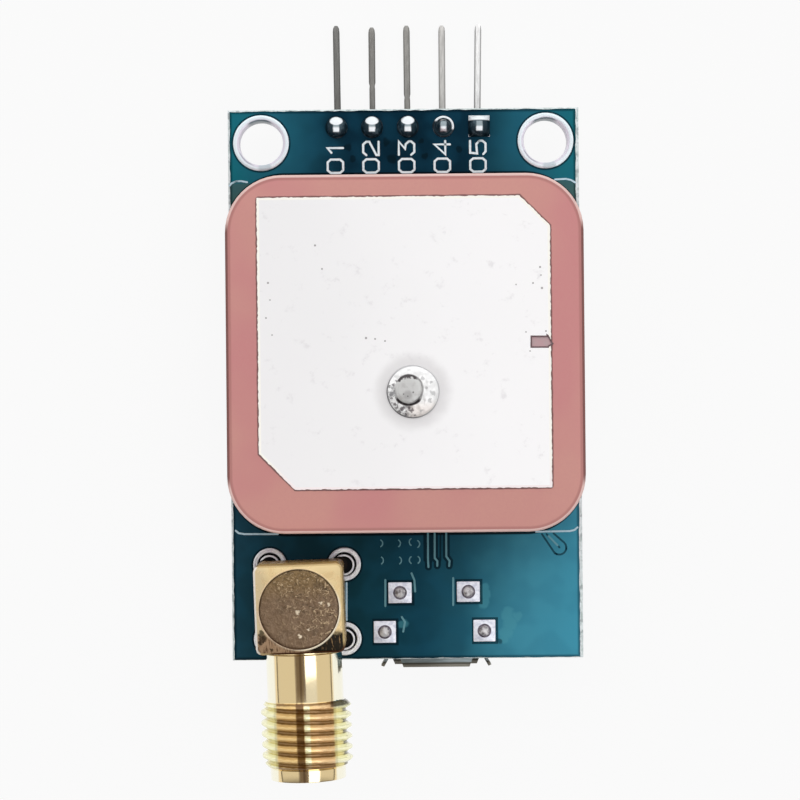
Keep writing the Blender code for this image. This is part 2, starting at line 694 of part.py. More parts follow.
def build_feed(frame):
    head = FEED_HEAD_DIAMETER / 2
    shank = FEED_SHANK_DIAMETER / 2
    head_bottom = ELECTRODE_TOP + SEAT
    head_top = head_bottom + FEED_HEAD_HEIGHT
    profile = [(head * x, head_bottom + FEED_HEAD_HEIGHT * z) for x, z in FEED_HEAD_CROWN]
    profile += [
        (head, head_bottom),
        (shank, head_bottom),
        (shank, -FEED_TAIL),
        (0, -FEED_TAIL),
    ]
    part(
        "antenna_feed_pin", turned(profile, COARSE), "solder", frame, (FEED_X, FEED_Y, 0)
    )
    outer = FEED_SOLDER_DIAMETER / 2
    ring = [
        (0, FEED_SOLDER_HEIGHT),
        (head, FEED_SOLDER_HEIGHT),
        ((head + outer) / 2, FEED_SOLDER_HEIGHT * FEED_SOLDER_SHOULDER),
        (outer - FEED_SOLDER_EDGE, FEED_SOLDER_HEIGHT * FEED_SOLDER_SLOPE),
        (outer, FEED_SOLDER_EDGE),
        (outer, 0),
        (0, 0),
    ]
    centre = (FEED_X + FEED_SOLDER_SHIFT_X, FEED_Y + FEED_SOLDER_SHIFT_Y, head_bottom)
    front = part("feed_solder_front", turned(ring, MEDIUM), "solder", frame, centre)
    socket = rod(FEED_HEAD_DIAMETER + 2 * FIT, FRONT, head_top, COARSE)
    cut(front, cutter("feed_head_socket", socket, frame, (FEED_X, FEED_Y, 0)))
    cone = solder_cone(
        FEED_BACK_SOLDER_DIAMETER, FEED_BACK_SOLDER_HEIGHT, FEED_SHANK_DIAMETER * LEAD_WETTING,
        COARSE,
    )
    back = part(
        "feed_solder_back", cone, "solder", frame, (FEED_X, FEED_Y, -SEAT), (math.pi, 0, 0)
    )
    shank_hole = rod(FEED_SHANK_DIAMETER + 2 * FIT, -2 * FEED_TAIL, FRONT, SMALL)
    cut(back, cutter("feed_shank_hole", shank_hole, frame, (FEED_X, FEED_Y, 0)))


# Five-pin header


def header_outline():
    # One square with cut corners for each pin, joined side by side
    cut_size = HEADER_CORNER_CUT
    half = HEADER_BASE_WIDTH / 2
    step = PIN_PITCH / 2
    near = []
    for x in PIN_XS:
        near += [
            (x - step, HEADER_Y - half + cut_size),
            (x - step + cut_size, HEADER_Y - half),
            (x + step - cut_size, HEADER_Y - half),
        ]
    near.append((PIN_XS[-1] + step, HEADER_Y - half + cut_size))
    far = [(x, 2 * HEADER_Y - y) for x, y in reversed(near)]
    return near + far


def build_header(frame):
    loops = [header_outline()]
    loops += [rectangle(x, HEADER_Y, PIN_SIZE + 2 * FIT, PIN_SIZE + 2 * FIT) for x in PIN_XS]
    part("header_base", plate(loops, HEADER_BASE_BOTTOM, -SEAT), "black_plastic", frame)
    for number, (x, error) in enumerate(zip(PIN_XS, PIN_REACH_ERRORS), 1):
        build_pin(frame, number, x, HALF_LENGTH + PIN_REACH + error * PIN_REACH_SPREAD)
        build_pin_solder(frame, number, x)


def build_pin(frame, number, x, tip_y):
    tail_top = FRONT + PIN_TAIL
    points = [(HEADER_Y, tail_top), (HEADER_Y, tail_top - PIN_TAPER_LENGTH)]
    for step in range(PIN_BEND_STEPS + 1):
        turn = QUARTER_TURN * step / PIN_BEND_STEPS
        points.append(
            (
                HEADER_Y + PIN_BEND_RADIUS * (1 - math.cos(turn)),
                HEADER_BASE_BOTTOM - PIN_BEND_RADIUS * math.sin(turn),
            )
        )
    points += [(tip_y - PIN_TAPER_LENGTH, PIN_RUN_Z), (tip_y, PIN_RUN_Z)]
    radii = [PIN_TAPER] + [1.0] * (len(points) - 2) + [PIN_TAPER]
    mesh = bar(points, PIN_SIZE, PIN_SIZE, radii)
    part(f"header_pin_{number}", mesh, "pin_metal", frame, (x, 0, 0))


def build_pin_solder(frame, number, x):
    cone = solder_cone(PIN_SOLDER_DIAMETER, PIN_SOLDER_HEIGHT, PIN_SOLDER_TOP_DIAMETER, COARSE)
    location = (x, HEADER_Y, FRONT + SEAT)
    solder = part(f"header_solder_{number}", cone, "solder", frame, location)
    if number == PIN_COUNT:
        pad = block(PIN_PAD_SIZE, PIN_PAD_SIZE, 0, PAD_THICKNESS)
        join(solder, cutter("header_square_pad", pad, frame, location))
    hole = block(PIN_SIZE + 2 * FIT, PIN_SIZE + 2 * FIT, 0, FRONT + 2 * PIN_TAIL)
    cut(solder, cutter(f"header_solder_hole_{number}", hole, frame, (x, HEADER_Y, 0)))


# Coaxial jack: everything but the pads stands in the jack's own turned frame


def build_jack_pads(frame):
    profile = [
        (JACK_LEG_HOLE_DIAMETER / 2, PAD_THICKNESS),
        (JACK_PAD_DIAMETER / 2, PAD_THICKNESS),
        (JACK_PAD_DIAMETER / 2, 0),
        (JACK_LEG_HOLE_DIAMETER / 2, 0),
    ]
    mesh = turned(profile, COARSE, closed=True)
    for number, (x, y) in enumerate(jack_legs(), 1):
        location = (JACK_X + x, JACK_Y + y, FRONT + SEAT)
        part(f"jack_pad_{number}", mesh, "tinned_copper", frame, location)


def build_jack_block(frame):
    bottom = PAD_THICKNESS + 2 * SEAT
    top = bottom + JACK_BLOCK_HEIGHT
    body = block(
        JACK_BLOCK_SIZE, JACK_BLOCK_SIZE, bottom, top,
        corner_radius=JACK_CORNER_RADIUS, corner_segments=2, rim_bevel=JACK_RIM_BEVEL,
    )
    jack_block = part("jack_block", body, "gold", frame)
    leg = rod(JACK_LEG_DIAMETER, -JACK_LEG_LENGTH, bottom + JACK_RIM_BEVEL * 2, SMALL)
    legs = [
        cutter(f"jack_leg_{number}", leg, frame, (x, y, 0))
        for number, (x, y) in enumerate(jack_legs(), 1)
    ]
    join(jack_block, *legs)
    counterbore = rod(CAP_DIAMETER + 2 * FIT, top - CAP_THICKNESS, top + CAP_THICKNESS, FINE)
    cavity = rod(JACK_CAVITY_DIAMETER, bottom + JACK_FLOOR, top, MEDIUM)
    bush_hole = rod(BUSH_DIAMETER + 2 * FIT, 0, top, COARSE)
    front_bore = rod(SPIGOT_DIAMETER + 2 * FIT, 0, JACK_BLOCK_SIZE, MEDIUM)
    cut(
        jack_block,
        cutter("jack_counterbore", counterbore, frame),
        cutter("jack_cavity", cavity, frame),
        cutter("jack_bush_hole", bush_hole, frame),
        cutter("jack_front_bore", front_bore, frame, (0, 0, JACK_AXIS_HEIGHT), AXIS_FORWARD),
    )
    cap = turned(
        [
            (0, CAP_THICKNESS + CAP_CROWN),
            (CAP_DIAMETER / 4, CAP_THICKNESS + CAP_CROWN / 2),
            (CAP_DIAMETER / 2 - CAP_EDGE_BEVEL, CAP_THICKNESS),
            (CAP_DIAMETER / 2, CAP_THICKNESS - CAP_EDGE_BEVEL),
            (CAP_DIAMETER / 2, SEAT),
            (0, SEAT),
        ],
        FINE,
    )
    part("jack_cap", cap, "tarnished_gold", frame, (0, 0, top - CAP_THICKNESS))
    bush = turned(
        [
            (CONTACT_PIN_DIAMETER / 2 + FIT, JACK_FLOOR),
            (BUSH_DIAMETER / 2, JACK_FLOOR),
            (BUSH_DIAMETER / 2, 0),
            (CONTACT_PIN_DIAMETER / 2 + FIT, 0),
        ],
        COARSE,
        closed=True,
    )
    part("jack_bush", bush, "fluoropolymer", frame, (0, 0, bottom))


def build_jack_barrel(frame):
    # The profile runs along the barrel, from the nose back to the spigot and through the bore
    nose_end = BARREL_START + BARREL_LENGTH
    thread_end = nose_end - NOSE_LENGTH
    thread_start = thread_end - THREAD_LENGTH
    thread = THREAD_DIAMETER / 2
    nose = NOSE_DIAMETER / 2
    neck = NECK_DIAMETER / 2
    bore = DIELECTRIC_DIAMETER / 2 + FIT
    spigot_end = BARREL_START - SPIGOT_LENGTH
    profile = [
        (MOUTH_DIAMETER / 2 + NOSE_CHAMFER, nose_end),
        (nose - NOSE_CHAMFER, nose_end),
        (nose, nose_end - NOSE_CHAMFER),
        (nose, thread_end),
        (thread, thread_end - THREAD_CHAMFER),
        (thread, thread_start + THREAD_CHAMFER),
        (neck, thread_start),
        (neck, BARREL_START),
        (SPIGOT_DIAMETER / 2, BARREL_START),
        (SPIGOT_DIAMETER / 2, spigot_end),
        (bore, spigot_end),
        (bore, MOUTH_FLOOR),
        (MOUTH_DIAMETER / 2, MOUTH_FLOOR),
        (MOUTH_DIAMETER / 2, nose_end - NOSE_CHAMFER),
    ]
    axis = (0, 0, JACK_AXIS_HEIGHT)
    barrel = turned(profile, FINE, closed=True)
    part("jack_barrel", barrel, "gold", frame, axis, AXIS_FORWARD)
    dielectric = turned(
        [
            (CONTACT_DIAMETER / 2 + FIT, MOUTH_FLOOR),
            (DIELECTRIC_DIAMETER / 2, MOUTH_FLOOR),
            (DIELECTRIC_DIAMETER / 2, spigot_end),
            (CONTACT_DIAMETER / 2 + FIT, spigot_end),
        ],
        MEDIUM,
        closed=True,
    )
    part("jack_dielectric", dielectric, "fluoropolymer", frame, axis, AXIS_FORWARD)


def build_jack_contact(frame):
    contact = CONTACT_DIAMETER / 2
    bore = CONTACT_BORE_DIAMETER / 2
    socket = turned(
        [
            (bore, MOUTH_FLOOR),
            (contact, MOUTH_FLOOR),
            (contact, -contact),
            (0, -contact),
            (0, MOUTH_FLOOR - CONTACT_BORE_DEPTH),
            (bore, MOUTH_FLOOR - CONTACT_BORE_DEPTH),
        ],
        COARSE,
        closed=True,
    )
    axis = (0, 0, JACK_AXIS_HEIGHT)
    obj = part("jack_contact", socket, "gold", frame, axis, AXIS_FORWARD)
    pin = rod(CONTACT_PIN_DIAMETER, -JACK_LEG_LENGTH, JACK_AXIS_HEIGHT, SMALL)
    join(obj, cutter("jack_contact_pin", pin, frame))


def build_jack_solder(frame):
    back = -BOARD_THICKNESS - SEAT
    places = [(f"jack_leg_solder_{i}", x, y) for i, (x, y) in enumerate(jack_legs(), 1)]
    for name, x, y in places:
        cone = solder_cone(
            LEG_SOLDER_DIAMETER, LEG_SOLDER_HEIGHT, JACK_LEG_DIAMETER * LEAD_WETTING
        )
        add_lead_solder(frame, name, cone, JACK_LEG_DIAMETER, x, y, back)
    cone = solder_cone(
        CONTACT_SOLDER_DIAMETER, CONTACT_SOLDER_HEIGHT, CONTACT_PIN_DIAMETER * LEAD_WETTING
    )
    add_lead_solder(frame, "jack_contact_solder", cone, CONTACT_PIN_DIAMETER, 0, 0, back)


def add_lead_solder(frame, name, cone, lead_diameter, x, y, z):
    solder = part(name, cone, "solder", frame, (x, y, z), (math.pi, 0, 0))
    hole = rod(lead_diameter + 2 * FIT, 2 * z, 0, SMALL)
    cut(solder, cutter(f"{name}_hole", hole, frame, (x, y, 0)))


def build_jack(module):
    build_jack_pads(module)
    location = (JACK_X + JACK_SHIFT_X, JACK_Y + JACK_SHIFT_Y, FRONT)
    frame = make_frame("jack_frame", module, location, JACK_TURN)
    build_jack_block(frame)
    build_jack_barrel(frame)
    build_jack_contact(frame)
    build_jack_solder(frame)


# Micro USB socket


def usb_outline():
    # Front view, clockwise, each corner cut once
    narrow = USB_NARROW_WIDTH / 2
    wide = USB_WIDTH / 2
    corner = USB_CORNER_CUT
    right = [
        (narrow - corner, USB_TOP),
        (narrow, USB_TOP - corner / 2),
        (wide, USB_TOP - USB_SLANT_DEPTH),
        (wide, USB_BOTTOM + corner),
        (wide - corner, USB_BOTTOM),
    ]
    left = [(-x, z) for x, z in reversed(right)]
    return left + right


def usb_shell_surface():
    # An open sleeve, with a flared lip on each of its four flat sides at the mouth
    bm = bmesh.new()
    ring = [bm.verts.new((x, USB_REAR, z)) for x, z in usb_outline()]
    edges = [bm.edges.new((a, b)) for a, b in zip(ring, ring[1:] + ring[:1])]
    sleeve = bmesh.ops.extrude_edge_only(bm, edges=edges)["geom"]
    mouth = [v for v in sleeve if isinstance(v, bmesh.types.BMVert)]
    bmesh.ops.translate(bm, vec=(0, USB_FRONT - USB_REAR, 0), verts=mouth)
    rim = [e for e in sleeve if isinstance(e, bmesh.types.BMEdge)]
    for edge in rim:
        a, b = (v.co for v in edge.verts)
        centre = (a + b) / 2
        level = abs(a.z - b.z) < WELD
        if level and centre.z > USB_BOTTOM / 2:
            shift = (0, -USB_LIP_LENGTH, USB_BOARD_LIP_FLARE)
        elif level:
            shift = (0, -USB_LIP_LENGTH, -USB_LIP_FLARE)
        elif abs(a.x - b.x) < WELD:
            shift = (math.copysign(USB_LIP_FLARE, centre.x), -USB_LIP_LENGTH, 0)
        else:
            continue
        lip = bmesh.ops.extrude_edge_only(bm, edges=[edge])["geom"]
        ends = [v for v in lip if isinstance(v, bmesh.types.BMVert)]
        bmesh.ops.scale(
            bm, vec=(USB_LIP_NARROWING,) * 3, space=Matrix.Translation(-centre), verts=ends
        )
        bmesh.ops.translate(bm, vec=shift, verts=ends)
    bmesh.ops.recalc_face_normals(bm, faces=bm.faces)
    board_side = max(bm.faces, key=lambda face: face.calc_center_median().z)
    if board_side.normal.z < 0:
        bmesh.ops.reverse_faces(bm, faces=bm.faces)
    return finished(bm, "usb_shell")


def build_usb_shell(frame):
    shell = part("usb_shell", usb_shell_surface(), "steel", frame, (USB_X, 0, 0))
    sheet = shell.modifiers.new("Solidify", "SOLIDIFY")
    sheet.thickness = USB_SHEET
    sheet.offset = -1
    sheet.use_even_offset = True
    leg_top = FRONT - USB_LEG_DEPTH
    side_leg_bottom = USB_TOP - USB_SLANT_DEPTH - USB_LEG_WIDTH
    rear_leg_bottom = USB_TOP - USB_SHEET
    legs = []
    for number, (x, y) in enumerate(usb_legs(), 1):
        is_rear = y > -HALF_LENGTH + (USB_REAR_LEG_INSET + USB_FRONT_LEG_INSET) / 2
        bottom = rear_leg_bottom if is_rear else side_leg_bottom
        leg = block(USB_SHEET, USB_LEG_WIDTH, bottom, leg_top)
        legs.append(cutter(f"usb_leg_{number}", leg, frame, (x, y, 0)))
        build_usb_solder(frame, number, x, y)
    join(shell, *legs)
    window = block(
        USB_WINDOW_WIDTH, USB_WINDOW_LENGTH, USB_BOTTOM - USB_SHEET, USB_BOTTOM + 2 * USB_SHEET
    )
    window_y = USB_FRONT + USB_WINDOW_INSET + USB_WINDOW_LENGTH / 2
    for side in (-1, 1):
        location = (USB_X + side * USB_WINDOW_X, window_y, 0)
        cut(shell, cutter(f"usb_window_{side}", window, frame, location))


def build_usb_solder(frame, number, x, y):
    location = (x, y, FRONT + SEAT)
    pad = part(
        f"usb_leg_solder_{number}", block(USB_PAD_SIZE, USB_PAD_SIZE, 0, PAD_THICKNESS),
        "solder", frame, location,
    )
    radius = USB_LEG_HOLE_DIAMETER / 2
    profile = [(radius * x, USB_SOLDER_HEIGHT * z) for x, z in USB_SOLDER_CROWN]
    profile += [(radius, PAD_THICKNESS), (radius, PAD_THICKNESS / 2), (0, PAD_THICKNESS / 2)]
    dome = turned(profile, SMALL)
    join(pad, cutter(f"usb_solder_dome_{number}", dome, frame, location))


def usb_contact_xs():
    middle = (USB_CONTACT_COUNT - 1) / 2
    return [USB_X + (i - middle) * USB_CONTACT_PITCH for i in range(USB_CONTACT_COUNT)]


def build_usb_inside(frame):
    # The base fills the sleeve's rear end, and the tongue stands out of it into the mouth
    base_front = USB_REAR - TONGUE_BASE_LENGTH
    mesh = plate([inset(usb_outline(), USB_SHEET + FIT)], 0, TONGUE_BASE_LENGTH)
    base = part(
        "usb_tongue", mesh, "black_plastic", frame, (USB_X, USB_REAR, 0), AXIS_FORWARD
    )
    tongue_front = USB_FRONT + TONGUE_RECESS
    tongue = block(
        TONGUE_WIDTH, USB_REAR - tongue_front - TONGUE_BASE_LENGTH / 2,
        CONTACT_PLANE - TONGUE_THICKNESS, CONTACT_PLANE,
    )
    tongue_y = (tongue_front + USB_REAR - TONGUE_BASE_LENGTH / 2) / 2
    join(base, cutter("usb_tongue_blade", tongue, frame, (USB_X, tongue_y, 0)))
    level = CONTACT_PLANE - USB_CONTACT_THICKNESS / 4
    tail_y = USB_REAR + USB_TAIL_GAP
    foot_z = -SEAT - USB_CONTACT_THICKNESS / 2
    points = [
        (tongue_front + USB_CONTACT_TIP_INSET, level),
        (tail_y, level),
        (tail_y, foot_z),
        (tail_y + USB_TAIL_FOOT, foot_z),
    ]
    groove = block(
        USB_CONTACT_WIDTH + 2 * FIT, 2 * USB_LENGTH,
        level - USB_CONTACT_THICKNESS / 2 - FIT, level + USB_CONTACT_THICKNESS / 2 + FIT,
    )
    for number, x in enumerate(usb_contact_xs(), 1):
        mesh = bar(points, USB_CONTACT_WIDTH, USB_CONTACT_THICKNESS)
        part(f"usb_contact_{number}", mesh, "gold", frame, (x, 0, 0))
        cut(base, cutter(f"usb_groove_{number}", groove, frame, (x, base_front, 0)))


# Receiver, backup cell and the smaller parts on the back


def receiver_outline():
    # A rectangle whose two long edges carry a row of half-round plated notches
    half_width = RECEIVER_WIDTH / 2
    half_depth = RECEIVER_DEPTH / 2
    first = -(RECEIVER_NOTCHES - 1) / 2 * RECEIVER_NOTCH_PITCH
    low_edge = [(-half_width, -half_depth)]
    for i in range(RECEIVER_NOTCHES):
        x = first + i * RECEIVER_NOTCH_PITCH
        for step in range(RECEIVER_NOTCH_STEPS, -1, -1):
            turn = math.pi * step / RECEIVER_NOTCH_STEPS
            low_edge.append(
                (
                    x + RECEIVER_NOTCH_RADIUS * math.cos(turn),
                    -half_depth + RECEIVER_NOTCH_RADIUS * math.sin(turn),
                )
            )
    low_edge.append((half_width, -half_depth))
    high_edge = [(-x, -y) for x, y in low_edge]
    return low_edge + high_edge


def build_receiver(frame):
    board_bottom = -(SEAT + RECEIVER_BOARD_THICKNESS)
    laminate = plate([receiver_outline()], board_bottom, -SEAT)
    part("receiver_board", laminate, "receiver_laminate", frame, (0, RECEIVER_Y, 0))
    can_top = board_bottom - SEAT
    can = block(
        RECEIVER_WIDTH - 2 * CAN_MARGIN, RECEIVER_DEPTH - 2 * CAN_MARGIN,
        can_top - CAN_HEIGHT, can_top,
        corner_radius=CAN_CORNER_RADIUS, corner_segments=3, rim_bevel=CAN_RIM_BEVEL,
    )
    part("receiver_can", can, "can_metal", frame, (0, RECEIVER_Y, 0))


def build_backup_cell(frame):
    # The lid side faces the board, on the lower tab. The upper tab bends down to its own pad
    tab_bottom = -(SEAT + TAB_THICKNESS)
    cell_top = tab_bottom - SEAT
    cell_bottom = cell_top - CELL_HEIGHT
    radius = CELL_DIAMETER / 2
    profile = [
        (0, cell_top),
        (CELL_LID_DIAMETER / 2, cell_top),
        (CELL_LID_DIAMETER / 2, cell_top - CELL_LID_HEIGHT),
        (radius - CELL_EDGE_BEVEL, cell_top - CELL_LID_HEIGHT),
        (radius, cell_top - CELL_LID_HEIGHT - CELL_EDGE_BEVEL),
        (radius, cell_bottom + CELL_EDGE_BEVEL),
        (radius - CELL_EDGE_BEVEL, cell_bottom),
        (0, cell_bottom),
    ]
    part("backup_cell", turned(profile, MEDIUM), "steel", frame, (CELL_X, CELL_Y, 0))
    foot_z = -SEAT - TAB_THICKNESS / 2
    lower = [(-radius - TAB_FOOT, foot_z), (CELL_LID_DIAMETER / 4, foot_z)]
    mesh = bar(lower, TAB_WIDTH, TAB_THICKNESS)
    part("cell_tab_lower", mesh, "steel", frame, (CELL_X, CELL_Y, 0))
    over_z = cell_bottom - SEAT - TAB_THICKNESS / 2
    bend_y = radius + TAB_GAP
    upper = [
        (-CELL_LID_DIAMETER / 4, over_z),
        (bend_y, over_z),
        (bend_y, foot_z),
        (bend_y + TAB_FOOT, foot_z),
    ]
    mesh = bar(upper, TAB_WIDTH, TAB_THICKNESS)
    part("cell_tab_upper", mesh, "steel", frame, (CELL_X, CELL_Y, 0))


def build_leaded_chip(frame, name, centre, body, span, lead_width, pitch, rows, turn):
    # Rows of bent leads on the two X sides of a moulded body that hangs under the board
    width, depth, height = body
    top = -(SEAT + CHIP_STANDOFF)
    moulding = block(width, depth, top - height, top, rim_bevel=CHIP_EDGE_BEVEL)
    chip = part(name, moulding, "moulding", frame, (*centre, 0), (0, 0, turn))
    foot_z = -SEAT - CHIP_LEAD_THICKNESS / 2
    root_z = top - height / 2
    knee = (width / 2 + span / 2) / 2
    points = [
        (width / 2 - CHIP_EDGE_BEVEL * 2, root_z),
        (knee, root_z),
        (knee, foot_z),
        (span / 2, foot_z),
    ]
    lead = bar(points, lead_width, CHIP_LEAD_THICKNESS)
    for side, steps in zip((0, 1), rows):
        facing = turn - QUARTER_TURN + side * math.pi
        for number, step in enumerate(steps, 1):
            along = step * pitch
            x = centre[0] - math.sin(turn) * along
            y = centre[1] + math.cos(turn) * along
            label = f"{name}_lead_{side}_{number}"
            join(chip, cutter(label, lead, frame, (x, y, 0), (0, 0, facing)))


def build_small_chips(frame):
    # A chip's body is thinner than its two wrapped ends, as its side view shows
    half = SMALL_CHIP_LENGTH / 2
    inner = half - SMALL_CHIP_TERMINAL
    high = SMALL_CHIP_HEIGHT
    step = SMALL_CHIP_STEP
    outline = [
        (-half, 0),
        (-inner, 0),
        (-inner, step),
        (inner, step),
        (inner, 0),
        (half, 0),
        (half, high),
        (inner, high),
        (inner, high - step),
        (-inner, high - step),
        (-inner, high),
        (-half, high),
    ]
    for name, (x, y, slot) in SMALL_CHIPS.items():
        mesh = plate([outline], -SMALL_CHIP_WIDTH / 2, SMALL_CHIP_WIDTH / 2)
        mesh.transform(Matrix.Rotation(-QUARTER_TURN, 4, "X"))
        part(name, mesh, slot, frame, (x, y, -SEAT), (0, 0, QUARTER_TURN))


def build_back_parts(frame):
    build_receiver(frame)
    build_backup_cell(frame)
    build_leaded_chip(
        frame, "memory_chip", (MEMORY_X, MEMORY_Y),
        (MEMORY_WIDTH, MEMORY_DEPTH, MEMORY_HEIGHT), MEMORY_LEAD_SPAN,
        MEMORY_LEAD_WIDTH, MEMORY_LEAD_PITCH, MEMORY_LEAD_ROWS, 0.0,
    )
    build_leaded_chip(
        frame, "regulator", (REGULATOR_X, REGULATOR_Y),
        (REGULATOR_WIDTH, REGULATOR_DEPTH, REGULATOR_HEIGHT), REGULATOR_LEAD_SPAN,
        REGULATOR_LEAD_WIDTH, REGULATOR_LEAD_PITCH, REGULATOR_LEAD_ROWS, QUARTER_TURN,
    )
    build_small_chips(frame)


def module_origin():
    # Puts the origin at the middle of the module's footprint, on the surface it rests on
    pin_tip = HALF_LENGTH + PIN_REACH + max(PIN_REACH_ERRORS) * PIN_REACH_SPREAD
    reach = BARREL_START + BARREL_LENGTH
    nose = NOSE_DIAMETER / 2 - NOSE_CHAMFER
    jack_tip = JACK_Y + JACK_SHIFT_Y - reach * math.cos(JACK_TURN) - nose * math.sin(JACK_TURN)
    return (0, -(pin_tip + jack_tip) / 2, REST_HEIGHT)


def main():
    clear_scene()
    parts = make_collection("gps_module")
    cutters = make_collection("cutters")
    cutters.hide_render = True
    module = make_frame("module_frame", location=module_origin())
    build_board(module)
    build_mount_rings(module)
    build_antenna(module)
    build_feed(module)
    build_header(module)
    build_jack(module)
    build_usb_shell(module)
    build_usb_inside(module)
    build_back_parts(module)
    for obj in parts.objects:
        apply_modifiers(obj)
        obj.data.name = obj.name
        obj.data.shade_smooth()
        obj.data.set_sharp_from_angle(angle=SHARP_ANGLE)


main()
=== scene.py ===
import math
import random

import bmesh
import bpy
from mathutils import Matrix, Vector, noise


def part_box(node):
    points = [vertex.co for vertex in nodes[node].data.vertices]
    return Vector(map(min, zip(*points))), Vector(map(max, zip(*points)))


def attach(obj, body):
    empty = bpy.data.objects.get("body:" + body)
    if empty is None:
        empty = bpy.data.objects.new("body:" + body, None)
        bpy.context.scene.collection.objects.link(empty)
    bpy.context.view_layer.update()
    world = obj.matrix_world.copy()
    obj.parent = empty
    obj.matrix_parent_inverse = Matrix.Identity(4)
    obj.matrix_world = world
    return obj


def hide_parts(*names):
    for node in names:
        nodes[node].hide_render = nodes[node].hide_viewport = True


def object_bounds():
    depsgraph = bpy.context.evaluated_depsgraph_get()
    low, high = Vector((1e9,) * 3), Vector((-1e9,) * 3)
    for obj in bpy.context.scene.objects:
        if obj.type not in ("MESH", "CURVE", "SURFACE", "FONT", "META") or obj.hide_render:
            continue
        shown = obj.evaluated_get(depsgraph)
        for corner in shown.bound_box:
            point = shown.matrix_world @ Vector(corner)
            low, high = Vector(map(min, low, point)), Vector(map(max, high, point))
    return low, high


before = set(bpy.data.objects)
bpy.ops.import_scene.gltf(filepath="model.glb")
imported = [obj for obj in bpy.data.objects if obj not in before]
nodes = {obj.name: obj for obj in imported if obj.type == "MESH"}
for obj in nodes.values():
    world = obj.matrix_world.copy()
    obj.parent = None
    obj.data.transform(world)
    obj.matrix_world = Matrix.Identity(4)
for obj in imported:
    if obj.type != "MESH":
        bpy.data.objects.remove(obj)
cadLow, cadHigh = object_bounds()
mm = 0.001
fullTurn = 2 * math.pi
quarter = math.pi / 2

# Sizes below are millimetres in the board's own frame: origin at the centre of its back face
boardLow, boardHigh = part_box("circuit_board")
board = {
    "halfWidth": (boardHigh.x - boardLow.x) / 2 / mm,
    "halfLength": (boardHigh.y - boardLow.y) / 2 / mm,
    "front": (boardHigh.z - boardLow.z) / mm,
    "mountX": 10.14,
    "mountY": 17.25,
    "headerX": 0.33,
    "headerY": 18.58,
    "pinPitch": 2.54,
    "jackX": -7.14,
    "jackY": -15.46,
    "legSpacing": 5.3,
    "feedX": 0.35,
    "feedY": -0.4,
}

# Middle and size of each pad round a leg of the USB socket
usbPad = {
    "places": (
        (-0.535, -14.876, 1.67, 1.48), (4.334, -14.847, 1.64, 1.46),
        (-1.64, -17.66, 1.58, 1.56), (5.456, -17.634, 1.57, 1.55),
    ),
    "rise": 0.07, "ringInner": 0.37, "ringOuter": 0.49,
}
antenna = {"size": 25.0, "y": 2.1, "corner": 4.0, "rim": 0.14, "low": 1.94, "high": 5.94}
# Cut edge: how far the mask stays back on each side
edge = {
    "left": 0.13, "right": 0.22, "top": 0.1, "bottom": 0.05, "drop": 0.08, "step": 0.45,
    "waver": 0.03, "seed": 4,
}


boardMiddle = (boardLow.y + boardHigh.y) / 2
front = board["front"]
pinXs = [board["headerX"] + (i - 2) * board["pinPitch"] for i in range(5)]
jackLegs = [
    (board["jackX"] + sx * board["legSpacing"] / 2, board["jackY"] + sy * board["legSpacing"] / 2)
    for sy in (1, -1) for sx in (-1, 1)
]
boardToWorld = Matrix.Translation((0, boardMiddle, boardLow.z)) @ Matrix.Scale(mm, 4)
jackPlace = (-7.4, -15.54)
jackTurn = math.radians(1.7)
jackToWorld = (
    boardToWorld @ Matrix.Translation((*jackPlace, front)) @ Matrix.Rotation(jackTurn, 4, "Z")
)
forward = Matrix.Rotation(quarter, 4, "X")  # lays a turned piece along the jack, out of the -Y edge


def at(x, y, z=0.0):
    return boardToWorld @ Matrix.Translation((x, y, z))


def colour(*screen):
    # Red, green and blue from 0 to 255, as the linear numbers that shaders take
    return (*(((v / 255 + 0.055) / 1.055) ** 2.4 if v > 10 else v / 3295 for v in screen), 1.0)


# Node helpers

class Wire:
    # A node's output that can be reckoned with: each sign adds a math node behind it

    def __init__(self, socket):
        self.socket = socket

    def __add__(self, other):
        return reckon("ADD", self, other)

    def __sub__(self, other):
        return reckon("SUBTRACT", self, other)

    def __rsub__(self, other):
        return reckon("SUBTRACT", other, self)

    def __mul__(self, other):
        return reckon("MULTIPLY", self, other)

    def __truediv__(self, other):
        return reckon("DIVIDE", self, other)

    def __pow__(self, other):
        return reckon("POWER", self, other)

    def __abs__(self):
        return reckon("ABSOLUTE", self)

    def into(self, socket):
        socket.id_data.links.new(self.socket, socket)


def addNode(tree, kind, inputs=None, **settings):
    node = tree.nodes.new(kind)
    for key, value in settings.items():
        setattr(node, key, value)
    for key, value in (inputs or {}).items():
        value = getattr(value, "socket", value)
        if isinstance(value, bpy.types.NodeSocket):
            tree.links.new(value, node.inputs[key])
        else:
            node.inputs[key].default_value = value
    return node


def treeOf(*values):
    sockets = [getattr(value, "socket", value) for value in values]
    return next(s.id_data for s in sockets if isinstance(s, bpy.types.NodeSocket))


def reckon(operation, *values, clamp=False):
    node = addNode(
        treeOf(*values), "ShaderNodeMath", dict(enumerate(values)), operation=operation,
        use_clamp=clamp,
    )
    return Wire(node.outputs[0])


def maximum(a, b):
    return reckon("MAXIMUM", a, b)


def spanOf(x, y):
    return reckon("SQRT", x ** 2 + y ** 2)


def vectorMath(operation, *values):
    node = addNode(
        treeOf(*values), "ShaderNodeVectorMath", dict(enumerate(values)), operation=operation
    )
    return Wire(node.outputs["Value" if operation == "DISTANCE" else "Vector"])


def fade(value, low, high, start=0.0, end=1.0, shape="SMOOTHSTEP"):
    node = addNode(
        treeOf(value), "ShaderNodeMapRange",
        {"Value": value, "From Min": low, "From Max": high, "To Min": start, "To Max": end},
        interpolation_type=shape,
    )
    return Wire(node.outputs["Result"])


